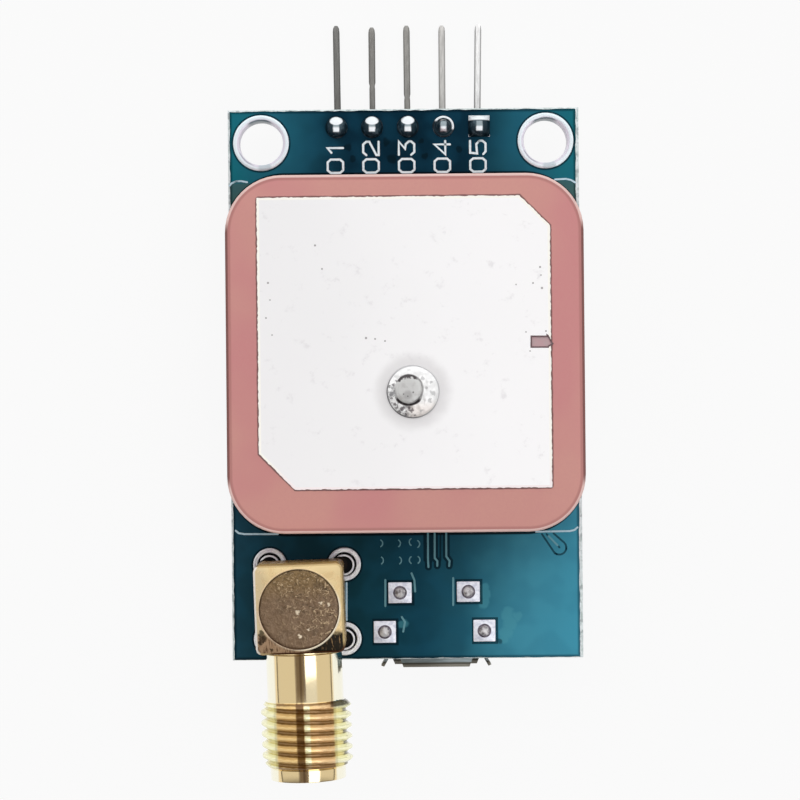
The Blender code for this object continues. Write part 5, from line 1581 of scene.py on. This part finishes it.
def threadMaterial():
    # Tan crests with painted shade in the grooves, and painted reflections: a brown stripe along
    # the top and cream at the sides
    material, point, axes = newMaterial(
        "threadGold", metallic=0.35, roughness=0.2, coat=0.25, coatRoughness=0.08,
        start=jackPoint,
    )
    x = axes["X"] + jack["topX"]
    waves = noiseOf(point, 2.2)
    wavy = (waves - 0.5) * 0.12
    high = axes["Z"] - (front + jack["axisZ"])
    radius = spanOf(x, high) + wavy
    crest = mixColour(fade(x, 0.0, 1.0), barrelLook["thread"], barrelLook["blush"])
    cream = band(x, -0.08, 0.02, 0.3, 0.42)
    crest = mixColour(cream, crest, barrelLook["cream"])
    base = mixColour(fade(radius, 2.97, 2.87, 0.0, 0.9), crest, barrelLook["groove"])
    middle = band(x, -0.66, -0.54, -0.12, -0.02)
    base = mixColour(middle * 0.9, base, barrelLook["stripe"])
    side = fade(abs(x), 1.92, 2.08)
    border = side * fade(abs(x), 2.22, 2.1)
    # Painted shade in the thread's roots at the sides
    root = fade(radius, 2.9, 2.82)
    pale = mixColour(root * 0.8, barrelLook["cream"], colour(228, 212, 128))
    rootShade = root * fade(x, 2.5, 2.62)
    pale = mixColour(rootShade * 0.85, pale, colour(84, 80, 58))
    base = mixColour(side, base, pale)
    base = mixColour(border * 0.35, base, colour(150, 120, 56))
    # Painted reflection: a dark wedge where the thread starts on the right
    start = -thread["start"]
    wedge = fade(x, 1.7, 1.9) * fade(axes["Y"], start - 0.42, start - 0.3)
    base = mixColour(wedge * 0.85, base, colour(66, 52, 36))
    return coated(material, base, waves, 0.5, 0.01)


def buildThread():
    # The turned thread: a grid bent round the barrel's axis, its radius a wave along a helix
    tree, given = geometryTree("jackThread", thread)
    grid = addNode(
        tree, "GeometryNodeMeshGrid",
        {"Size X": 1.0, "Size Y": 1.0, "Vertices X": given["turns"], "Vertices Y": given["rows"]},
    )
    place = axesOf(addNode(tree, "GeometryNodeInputPosition").outputs[0])
    share = place["X"] + 0.5
    angle = share * fullTurn
    along = (place["Y"] + 0.5) * given["length"]
    phase = reckon("FRACT", along / given["pitch"] + share)
    wave = abs(phase * 2.0 - 1.0)
    flank = fade(wave, 0.2, 0.84, shape="LINEAR")
    fromEnd = reckon("MINIMUM", along, given["length"] - along)
    fadeOut = fade(fromEnd, 0.0, given["ramp"], shape="LINEAR")
    radius = given["radius"] - maximum(flank, 1.0 - fadeOut) * given["depth"]
    spot = addNode(
        tree, "ShaderNodeCombineXYZ",
        {
            "X": radius * reckon("COSINE", angle), "Y": radius * reckon("SINE", angle),
            "Z": along + given["start"],
        },
    )
    moved = addNode(
        tree, "GeometryNodeSetPosition",
        {"Geometry": grid.outputs["Mesh"], "Position": spot.outputs[0]},
    )
    blank = bpy.data.meshes.new("threadBlank")
    return bakeTree(endTree(tree, moved.outputs["Geometry"], jackGold), blank, thread)


def buildBarrel():
    neckEnd, nose = thread["start"], jackNose
    threadEnd = nose - jack["noseLength"]
    base = thread["radius"] - thread["depth"]
    neck, mouth = jack["neckRadius"], jack["mouthRadius"]
    front = [
        (mouth, nose - 0.15), (mouth + 0.03, nose - 0.04), (mouth + 0.08, nose),
        (jack["noseRadius"] - 0.08, nose), (jack["noseRadius"] - 0.02, nose - 0.03),
        (jack["noseRadius"], nose - 0.09), (jack["noseRadius"], threadEnd + 0.14),
        (jack["noseRadius"] - 0.06, threadEnd + 0.05), (base, threadEnd),
    ]
    back = [
        (base, neckEnd), (neck + 0.02, neckEnd - 0.02), (neck, neckEnd - 0.1),
        (neck, jack["start"] + 0.06), (neck - 0.05, jack["start"]),
        (jack["spigotRadius"], jack["start"]), (jack["spigotRadius"], jack["spigotEnd"]),
        (jack["boreRadius"], jack["spigotEnd"]), (jack["boreRadius"], nose - jack["mouthDepth"]),
        (mouth, nose - jack["mouthDepth"]), (mouth, nose - 0.15),
    ]
    threaded = buildThread()
    for polygon in threaded.polygons:
        polygon.material_index = 1
    turned = joined([lathe(front, thread["turns"] - 1), lathe(back, thread["turns"] - 1), threaded])
    bm = bmesh.new()
    bm.from_mesh(turned)
    mesh = finish(bm, jackAxis, "jackBarrel")
    makePiece(
        "jackBarrel", mesh, barrelMaterial(), threadMaterial(), replaces=["jack_barrel"],
        slot="gold", angle=32,
    )


capLook = {
    # brown stands for a painted reflection of the dark area overhead; the contours, pale specks and
    # glints are painted light
    "brown": colour(118, 94, 70), "pale": colour(206, 180, 142), "deep": colour(58, 42, 22),
    "olive": colour(126, 100, 58), "bumps": 34, "seed": 11,
    "contours": (
        (0.54, "deep", 0.6), (0.575, "pale", 0.62), (0.43, "deep", 0.45), (0.4, "pale", 0.35)
    ),
    "glints": (
        (0.0, -1.86, 0.12), (0.6, -1.4, 0.09), (2.05, 0.2, 0.09), (1.52, 0.4, 0.1),
        (-0.12, -0.17, 0.12),
    ),
}


def capMaterial():
    # Brown that stands for the gold's painted reflection of the dark area overhead, embossed with
    # small lumps that have a painted light side and a painted dark side, and a few painted glints
    material, point, axes = newMaterial("jackCap", metallic=0.3, start=jackPoint)
    blotch = noiseOf(point, 0.9, 3.0, 0.6)
    broad = noiseOf(warped(point, 2.0, 0.3), 1.25, 2.0, 0.6)
    small = noiseOf(point, 4.4)
    base = mixColour(fade(axes["Y"], 0.2, 2.4, 0.0, 0.8), capLook["brown"], capLook["olive"])
    base = mixColour(fade(blotch, 0.52, 0.72, 0.0, 0.4), base, capLook["deep"])
    lean = axes["X"] + axes["Y"] * 0.7
    side = fade(lean, -1.9, 0.6, 0.25, 1.0)
    # Painted highlights and painted shade along the lumps' edges, with pale specks and dark shade
    # beside them
    for middle, tone, share in capLook["contours"]:
        line = abs(broad - middle)
        line = fade(line, 0.019, 0.01) * side
        line = line * fade(small, 0.4, 0.56, 0.2, 1.0)
        base = mixColour(line * share, base, capLook[tone])
    specks = fade(small, 0.62, 0.68, 0.0, 0.4) * side
    base = mixColour(specks, base, capLook["pale"])
    shadow = fade(small, 0.38, 0.33, 0.0, 0.5) * side
    base = mixColour(shadow, base, capLook["deep"])
    # Painted glints
    glints = spotsOf(warped(point, 3.5, 0.5), capLook["glints"])
    base = mixColour(glints * 0.8, base, colour(236, 220, 192))
    return coated(material, base, broad + small, 0.8, 0.08, gloss=fade(small, 0.3, 0.7, 0.34, 0.46))


def buildCap():
    # A pressed disc whose face is lumpy, mostly towards its far right side
    bm = bmesh.new()
    random.seed(capLook["seed"])
    radius, high = jack["capRadius"] - 0.02, jack["blockHigh"] - 0.01
    lumps = []
    for _ in range(capLook["bumps"]):
        t, r = random.uniform(0, fullTurn), radius * math.sqrt(random.random()) * 0.9
        x, y = r * math.cos(t), r * math.sin(t)
        strength = random.uniform(0.3, 1.0) * (0.25 + 0.75 * (x + y > -0.6))
        lumps.append((x, y, random.uniform(0.1, 0.2), strength * random.choice((1, 1, 1, -0.7))))
    turns, rows = 150, 44
    rings = [[bm.verts.new((0, 0, high + 0.02))]]
    for row in range(1, rows + 1):
        r = radius * row / rows
        ring = []
        for i in range(turns):
            t = fullTurn * i / turns
            x, y = r * math.cos(t), r * math.sin(t)
            rise = 0.02 + 0.02 * noise.noise(Vector((x * 1.4, y * 1.4, 0.5)))
            for lx, ly, size, strength in lumps:
                d = ((x - lx) ** 2 + (y - ly) ** 2) / size ** 2
                if d < 6:
                    rise += 0.03 * strength * math.exp(-d)
            rise -= 0.06 * max(0.0, row / rows - 0.95) / 0.05
            ring.append(bm.verts.new((x, y, high + rise)))
        rings.append(ring)
    rings.append([bm.verts.new((v.co.x, v.co.y, high - 0.45)) for v in rings[-1]])
    for a, b in zip(rings, rings[1:]):
        bridge(bm, a, b)
    bm.faces.new(rings[-1])
    mesh = finish(bm, jackTop, "jackCap")
    makePiece(
        "jackCap", mesh, capMaterial(), replaces=["jack_cap"], slot="tarnished_gold", angle=50
    )


blockLook = {
    # Tones for painted light: brown and dark are painted reflections by the barrel, rim, lip and
    # peach painted highlights, line painted shade
    "gold": colour(222, 198, 150), "left": colour(212, 192, 152), "brown": colour(172, 142, 112),
    "dark": colour(26, 20, 10), "lip": colour(244, 232, 206), "peach": colour(232, 204, 176),
    "rim": colour(230, 222, 212), "line": colour(72, 40, 22),
    "stains": ((-2.66, -1.6, 0.2), (-2.55, -1.95, 0.24), (-2.72, -2.2, 0.16), (-2.0, -2.7, 0.14)),
}


def buildBlock():
    # The four corners of the top slope away from the staked ring that holds the cap
    half, low, high = jack["blockHalf"], jack["blockLow"], jack["blockHigh"]
    turns = 128
    corner = 0.42
    bm = bmesh.new()

    def squareRing(inset, z, tilt=0.0):
        ring = []
        for i in range(turns):
            t = fullTurn * (i + 0.5) / turns
            x, y = math.cos(t), math.sin(t)
            side = half - inset
            scale = side / max(abs(x), abs(y))
            px, py = x * scale, y * scale
            limit = side - corner + inset * 0.5
            dx, dy = abs(px) - limit, abs(py) - limit
            if dx > 0 and dy > 0:
                span = side - limit
                length = math.hypot(dx, dy)
                px = math.copysign(limit + dx / length * span, px)
                py = math.copysign(limit + dy / length * span, py)
            fall = tilt * max(0.0, math.hypot(px, py) - jack["capRadius"] - 0.1)
            ring.append(bm.verts.new((px, py, z - fall)))
        return ring

    def roundRing(radius, z):
        angles = [fullTurn * (i + 0.5) / turns for i in range(turns)]
        return [bm.verts.new((radius * math.cos(t), radius * math.sin(t), z)) for t in angles]

    rings = [
        roundRing(jack["capRadius"], high - 0.45), roundRing(jack["capRadius"], high + 0.02),
        roundRing(jack["capRadius"] + 0.04, high + 0.06),
        roundRing(jack["capRadius"] + 0.09, high + 0.06),
        roundRing(jack["capRadius"] + 0.14, high + 0.01), squareRing(0.22, high - 0.01, 0.13),
        squareRing(0.1, high - 0.03, 0.14), squareRing(0.03, high - 0.1, 0.1),
        squareRing(0.0, high - 0.22, 0.05), squareRing(0.0, low + 0.14),
        squareRing(0.04, low + 0.04), squareRing(0.14, low),
    ]
    for a, b in zip(rings, rings[1:]):
        bridge(bm, a, b)
    bm.faces.new(rings[-1])
    bm.faces.new(rings[0])
    body = finish(bm, jackTop)
    profile = [
        (0, low + 0.05), (0.56, low + 0.05), (0.52, low - 0.1), (0.475, low - 0.2),
        (0.475, -2.95), (0.38, -3.1), (0, -3.1),
    ]
    spread = board["legSpacing"] / 2
    legs = [
        lathe(profile, 24, matrix=jackToWorld @ Matrix.Translation((x, y, 0)))
        for x in (-spread, spread) for y in (-spread, spread)
    ]
    makePiece(
        "jackBlock", joined([body, *legs]), blockMaterial(), replaces=["jack_block"],
        slot="gold", angle=28,
    )


def blockMaterial():
    # Gold plate with painted reflections: pale at the far corners, brown and dark at the two by the
    # barrel, where it is scratched too
    material, point, axes = newMaterial("blockGold", metallic=0.2, specular=0.08, start=jackPoint)
    waves = noiseOf(point, 1.6, 3.0)
    mottleNoise = noiseOf(point, 4.0, 4.0, 0.7)
    scratches = noiseOf(stretched(point, 5.0, 0.8, 1.0), 1.5, 3.0, 0.7)
    west = fade(axes["X"], -1.9, -2.6)
    gold = mixColour(west, blockLook["gold"], blockLook["left"])
    gold = mixColour(fade(waves, 0.45, 0.7, 0.0, 0.35), gold, colour(196, 162, 112))
    brown = mixColour(fade(scratches, 0.5, 0.62, 0.0, 0.8), blockLook["brown"], colour(82, 56, 38))
    dark = mixColour(fade(scratches, 0.56, 0.66, 0.0, 0.8), blockLook["dark"], colour(150, 118, 80))
    east = fade(axes["X"], 0.0, 1.0)
    near = mixColour(east, brown, dark)
    # Painted reflection: brown and dark on the side by the barrel
    shy = axes["Y"] + mottleNoise * 0.6
    base = mixColour(fade(shy, -1.1, -1.6), gold, near)
    stain = spotsOf(warped(point, 2.6, 0.5), blockLook["stains"])
    base = mixColour(stain * 0.8, base, blockLook["dark"])
    half = jack["blockHalf"]
    distance, _ = plateEdge(axes, (0, 0), (half, half), 0.45)
    # Painted highlight along the top's edges, with painted shade at the lower left corner
    corner = fade(axes["Y"], -2.2, -2.8) * fade(axes["X"], -2.4, -1.8)
    west = fade(axes["X"], -2.7, -2.9)
    rim = mixColour(west, colour(190, 166, 120), blockLook["rim"])
    rim = mixColour(corner, rim, blockLook["line"])
    base = mixColour(fade(distance, -0.17, -0.1), base, rim)
    radius = spanOf(axes["X"], axes["Y"])
    lipEdge = jack["capRadius"] + 0.13
    turn = reckon("ARCTAN2", axes["Y"], axes["X"])
    # Painted highlight on the lip round the cap
    lit = band(turn, -1.9, -1.3, 0.0, 0.5)
    lit = reckon("ADD", lit, fade(turn, -2.2, -2.6, 0.0, 0.6), clamp=True)
    lip = fade(radius, lipEdge + 0.04, lipEdge - 0.02) * fade(axes["Z"], front + 5.9, front + 6.1)
    lip = lip * fade(lit, 0.0, 1.0, 0.25, 1.0)
    lipTone = mixColour(
        fade(axes["X"] - axes["Y"], -1.5, 1.5), blockLook["peach"], blockLook["lip"]
    )
    base = mixColour(lip, base, lipTone)
    # Painted shade in the gap round the cap
    inner = fade(radius, jack["capRadius"] + 0.05, jack["capRadius"] + 0.01)
    base = mixColour(inner, base, blockLook["line"])
    sideFace = fade(axes["Z"], front + 6.15, front + 5.95)
    base = mixColour(sideFace, base, colour(176, 146, 92))
    # Painted shade on the legs and the block's foot
    foot = fade(axes["Z"], front + 0.7, front + 0.3)
    base = mixColour(foot, base, colour(30, 26, 24))
    return coated(material, base, waves + mottleNoise, 0.4, 0.012, gloss=fade(waves, 0.3, 0.7, 0.2, 0.3))


def buildJackPads():
    profile = [
        (0.85, -0.1), (0.87, 0.04), (0.93, 0.09), (0.97, 0.06), (1.01, 0.06), (1.06, 0.11),
        (1.12, 0.1), (1.17, 0.05), (1.19, 0.0), (1.19, -0.005), (0.87, -0.01),
    ]
    bright = tinMaterial("jackPadTin", colour(252, 254, 255), colour(232, 230, 240), metallic=0.0)
    # Painted shade: darker tin in the groove of each pad
    grooveShade = tinMaterial("jackPadGrooveShade", colour(128, 124, 138), colour(84, 80, 96), metallic=0.0)
    fluxAndShade, *_ = newMaterial("fluxAndShadeBlack", base=colour(8, 10, 14), roughness=0.5, specular=0.05)
    for number, (x, y) in enumerate(jackLegs, 1):
        ring = lathe(profile, 64, closed=True, matrix=at(x, y, front))
        for polygon in ring.polygons:
            away = math.hypot(polygon.center.x - x, polygon.center.y - y)
            polygon.material_index = int(0.94 < away < 1.03)
        makePiece(
            f"jackPad{number}", ring, bright, grooveShade, replaces=[f"jack_pad_{number}"],
            slot="tinned_copper", angle=60,
        )
        # A black disc of flux over each leg hole, which also stands in for the shade in the hole
        rest = lathe(
            [(0, 0.09), (0.6, 0.085), (0.86, 0.02), (0.86, -0.06), (0, -0.06)], 40,
            matrix=at(x, y, front),
        )
        fillet = lathe(
            [(0.6, 0.06), (0.64, 0.12), (0.7, 0.12), (0.75, 0.07), (0.7, 0.0), (0.62, 0.0)], 48,
            closed=True, matrix=at(x - 0.03, y - 0.05, front),
        )
        for polygon in fillet.polygons:
            polygon.material_index = 1
        makePiece(f"jackFluxAndShade{number}", joined([rest, fillet]), fluxAndShade, bright)


def buildContact():
    # The sprung centre socket
    end = jackNose - jack["mouthDepth"]
    profile = [
        (0.465, end), (0.5, end + 0.05), (0.6, end + 0.05), (0.635, end), (0.635, end - 6.0),
        (0.3, end - 6.2), (0, end - 6.2), (0, end - 2.4), (0.465, end - 2.4),
    ]
    mesh = lathe(profile, matrix=jackAxis)
    pin = lathe(
        [(0, jack["axisZ"]), (0.4, jack["axisZ"]), (0.4, -3.0), (0.3, -3.1), (0, -3.1)], 24,
        matrix=jackToWorld,
    )
    makePiece(
        "jackContact", joined([mesh, pin]), jackGold, replaces=["jack_contact"], slot="gold"
    )


buildBlock()
buildCap()
buildBarrel()
buildJackPads()
buildContact()
for node in ("jack_dielectric", "jack_bush"):
    dress(node, whiteFluoro)
for number in range(1, 5):
    dress(f"jack_leg_solder_{number}", brightSolder)
dress("jack_contact_solder", brightSolder)
print("jack ready")


# Micro USB socket and its four soldered legs

def steelShellMaterial():
    # Dull steel, darker at the very lip
    material, point, axes = newMaterial("shellSteel", metallic=0.5, roughness=0.4)
    streaks = noiseOf(stretched(point, 0.6, 5.0, 5.0), 1.2, 3.0)
    base = mixColour(fade(streaks, 0.3, 0.7), colour(116, 126, 128), colour(142, 152, 156))
    base = mixColour(fade(axes["Y"], -19.99, -20.05), base, colour(70, 68, 60))
    base = mixColour(fade(axes["Y"], -20.13, -20.18), base, colour(120, 116, 106))
    base = mixColour(fade(axes["Y"], -19.72, -19.64), base, colour(176, 190, 196))
    return coated(material, base, streaks, 0.4, 0.01)


def buildUsbShell():
    mesh = refined("usb_shell", 0.05)
    toBoard = boardToWorld.inverted()
    mesh.transform(toBoard)
    x, y, scaleX, scaleY, shift = 1.95, -board["halfLength"], 0.96, 0.84, 0.09
    for vertex in mesh.vertices:
        if vertex.co.y < y:
            vertex.co.x = x + shift + (vertex.co.x - x) * scaleX
            vertex.co.y = y + (vertex.co.y - y) * scaleY
    mesh.transform(boardToWorld)
    makePiece("usbShell", mesh, steelShellMaterial(), replaces=["usb_shell"], slot="steel")


def buildUsbPads():
    # Each pad is a flat square, a dark ring of flux round the leg and a mottled dome of solder
    pit = mottledMaterial(
        "fluxRing", 0.45, 4.0, 0.35, 0.65, colour(58, 50, 62), colour(112, 104, 118)
    )
    dome = tinMaterial(
        "legDome", colour(208, 206, 208), colour(116, 112, 116), grain=2.6, depth=0.05
    )
    rise, inner, outer = usbPad["rise"], usbPad["ringInner"], usbPad["ringOuter"]
    for number, (x, y, width, depth) in enumerate(usbPad["places"], 1):
        place = at(x, y, front)
        pad = boxMesh(width, depth, 0, rise, corner=0.06, rim=0.03, steps=2, matrix=place)
        ring = lathe(
            [(inner, rise - 0.02), (inner, rise + 0.03), (outer - 0.02, rise + 0.025),
             (outer, rise + 0.005), (outer, rise - 0.02)],
            40, matrix=place,
        )
        bm = bmesh.new()
        rings = [[bm.verts.new((0, 0, rise + 0.16))]]
        for share in (0.25, 0.5, 0.72, 0.88, 1.0):
            row = []
            for i in range(32):
                t = fullTurn * i / 32
                r = (inner + 0.01) * share * (1 + 0.06 * math.sin(3 * t + number))
                up = 0.16 * math.sqrt(max(0.0, 1 - share ** 2)) + 0.04 * noise.noise(
                    Vector((math.cos(t) * share * 2, math.sin(t) * share * 2, number * 3.0))
                )
                row.append(bm.verts.new((r * math.cos(t), r * math.sin(t), rise + max(-0.01, up))))
            rings.append(row)
        for a, b in zip(rings, rings[1:]):
            bridge(bm, a, b)
        bm.faces.new(rings[-1])
        blob = finish(bm, place)
        for part, index in ((ring, 1), (blob, 2)):
            for polygon in part.polygons:
                polygon.material_index = index
        makePiece(
            f"usbLegSolder{number}", joined([pad, ring, blob]), padTin, pit, dome,
            replaces=[f"usb_leg_solder_{number}"], slot="solder", angle=60,
        )


buildUsbPads()
buildUsbShell()
dress("usb_tongue", blackPlastic)
for number in range(1, 6):
    dress(f"usb_contact_{number}", jackGold)
print("socket ready")


# Parts on the back

backPieces = {
    "receiverCan": ("receiver_can", 0.05, canSheet, "can_metal"),
    "backupCell": ("backup_cell", 0.06, cellSteel, "steel"),
}
backFinishes = {
    "receiver_board": moduleLaminate, "cell_tab_lower": cellSteel, "cell_tab_upper": cellSteel,
    "memory_chip": chipResin, "regulator": chipResin, "status_led": ledResin,
    "resistor_1": resistorGlaze, "resistor_2": resistorGlaze, "capacitor_1": capacitorClay,
    "capacitor_2": capacitorClay, "capacitor_3": capacitorClay,
}


def buildBack():
    for name, (node, bevel, material, slot) in backPieces.items():
        makePiece(name, refined(node, bevel), material, replaces=[node], slot=slot)
    for node, material in backFinishes.items():
        dress(node, material)


buildBack()
print("back ready")


# Floor, light and camera

studio = {
    "white": 0.962,
    "floorShade": 0.05,
    "side": 0.8,
    "far": 1.5,
    "near": 0.2,
    "overhead": (0.2, 0.165, 0.145),
    "box": 2.3,
}


def buildFloor():
    mesh = bpy.data.meshes.new("floor")
    reach, low = 0.9, cadLow.z - 0.00002
    mesh.from_pydata(
        [(x, y, low) for x, y in rectangle(-reach, -reach, reach, reach)], [], [(0, 1, 2, 3)]
    )
    floor = bpy.data.objects.new("floor", mesh)
    bpy.context.scene.collection.objects.link(floor)
    material = bpy.data.materials.new("floorWhite")
    material.use_nodes = True
    tree = material.node_tree
    tree.nodes.clear()
    rays = addNode(tree, "ShaderNodeLightPath").outputs
    seen = reckon("ADD", rays["Is Camera Ray"], rays["Is Glossy Ray"], clamp=True)
    seen = reckon("ADD", seen, rays["Is Transmission Ray"], clamp=True)
    glow = addNode(
        tree, "ShaderNodeEmission", {"Color": (1, 1, 1, 1), "Strength": studio["white"]}
    ).outputs[0]
    plain = addNode(tree, "ShaderNodeBsdfDiffuse", {"Color": (0.9, 0.9, 0.9, 1)}).outputs[0]
    share = seen * (1 - studio["floorShade"])
    mixed = addNode(tree, "ShaderNodeMixShader", {0: share, 1: plain, 2: glow}).outputs[0]
    addNode(tree, "ShaderNodeOutputMaterial", {"Surface": mixed})
    mesh.materials.append(material)


def buildWorld():
    # A white tent: bright at the far side, a soft box on the right, dark overhead and at the
    # camera's foot
    world = bpy.data.worlds.new("tent")
    bpy.context.scene.world = world
    world.use_nodes = True
    tree = world.node_tree
    tree.nodes.clear()
    ray = addNode(tree, "ShaderNodeTexCoord").outputs["Generated"]
    axes = axesOf(ray)
    up = maximum(axes["Z"], 0.02)
    degrees = 180 / math.pi
    across = reckon("ARCTAN2", axes["X"], up) * degrees
    along = reckon("ARCSINE", axes["Y"]) * degrees
    level = fade(along, 8.0, 30.0, studio["side"], studio["far"])
    near = fade(along, -14.0, -32.0)
    level = level * (1.0 - near) + near * studio["near"]
    boxWidth = band(across, 2.5, 4.4, 36.0, 40.0)
    boxLength = band(along, 4.0, 0.0, -34.0, -42.0)
    box = boxWidth * boxLength * studio["box"]
    level = maximum(level, box)
    level = level * fade(axes["Z"], 0.04, 0.1, 0.25, 1.0)
    tint = addNode(tree, "ShaderNodeCombineColor", {"Red": level, "Green": level, "Blue": level})
    darkWidth = band(across, -27.0, -22.0, 2.6, 4.6)
    darkLength = band(along, 13.0, 4.0, -60.0, -75.0)
    dark = darkWidth * darkLength
    shade = mixColour(dark, tint.outputs["Color"], (*studio["overhead"], 1.0))
    tent = addNode(tree, "ShaderNodeBackground", {"Color": shade, "Strength": 1.0}).outputs[0]
    plain = addNode(
        tree, "ShaderNodeBackground", {"Color": (1, 1, 1, 1), "Strength": studio["white"]}
    ).outputs[0]
    rays = addNode(tree, "ShaderNodeLightPath").outputs
    mixed = addNode(
        tree, "ShaderNodeMixShader", {0: rays["Is Camera Ray"], 1: tent, 2: plain}
    ).outputs[0]
    addNode(tree, "ShaderNodeOutputWorld", {"Surface": mixed})


camera = {
    "distance": 188.5, "span": 57.02, "turn": math.radians(-0.54), "x": -0.405, "y": -1.145,
    "sensor": 36.0,
}


def buildCamera():
    lens = bpy.data.cameras.new("camera")
    lens.sensor_width = camera["sensor"]
    lens.lens = camera["sensor"] * camera["distance"] / camera["span"]
    lens.clip_start, lens.clip_end = 0.01, 10.0
    obj = bpy.data.objects.new("camera", lens)
    bpy.context.scene.collection.objects.link(obj)
    obj.location = boardToWorld @ Vector((camera["x"], camera["y"], front + camera["distance"]))
    obj.rotation_euler = (0, 0, camera["turn"])
    bpy.context.scene.camera = obj


buildFloor()
buildWorld()
buildCamera()
bpy.context.scene.view_settings.view_transform = "Standard"
print("studio ready")
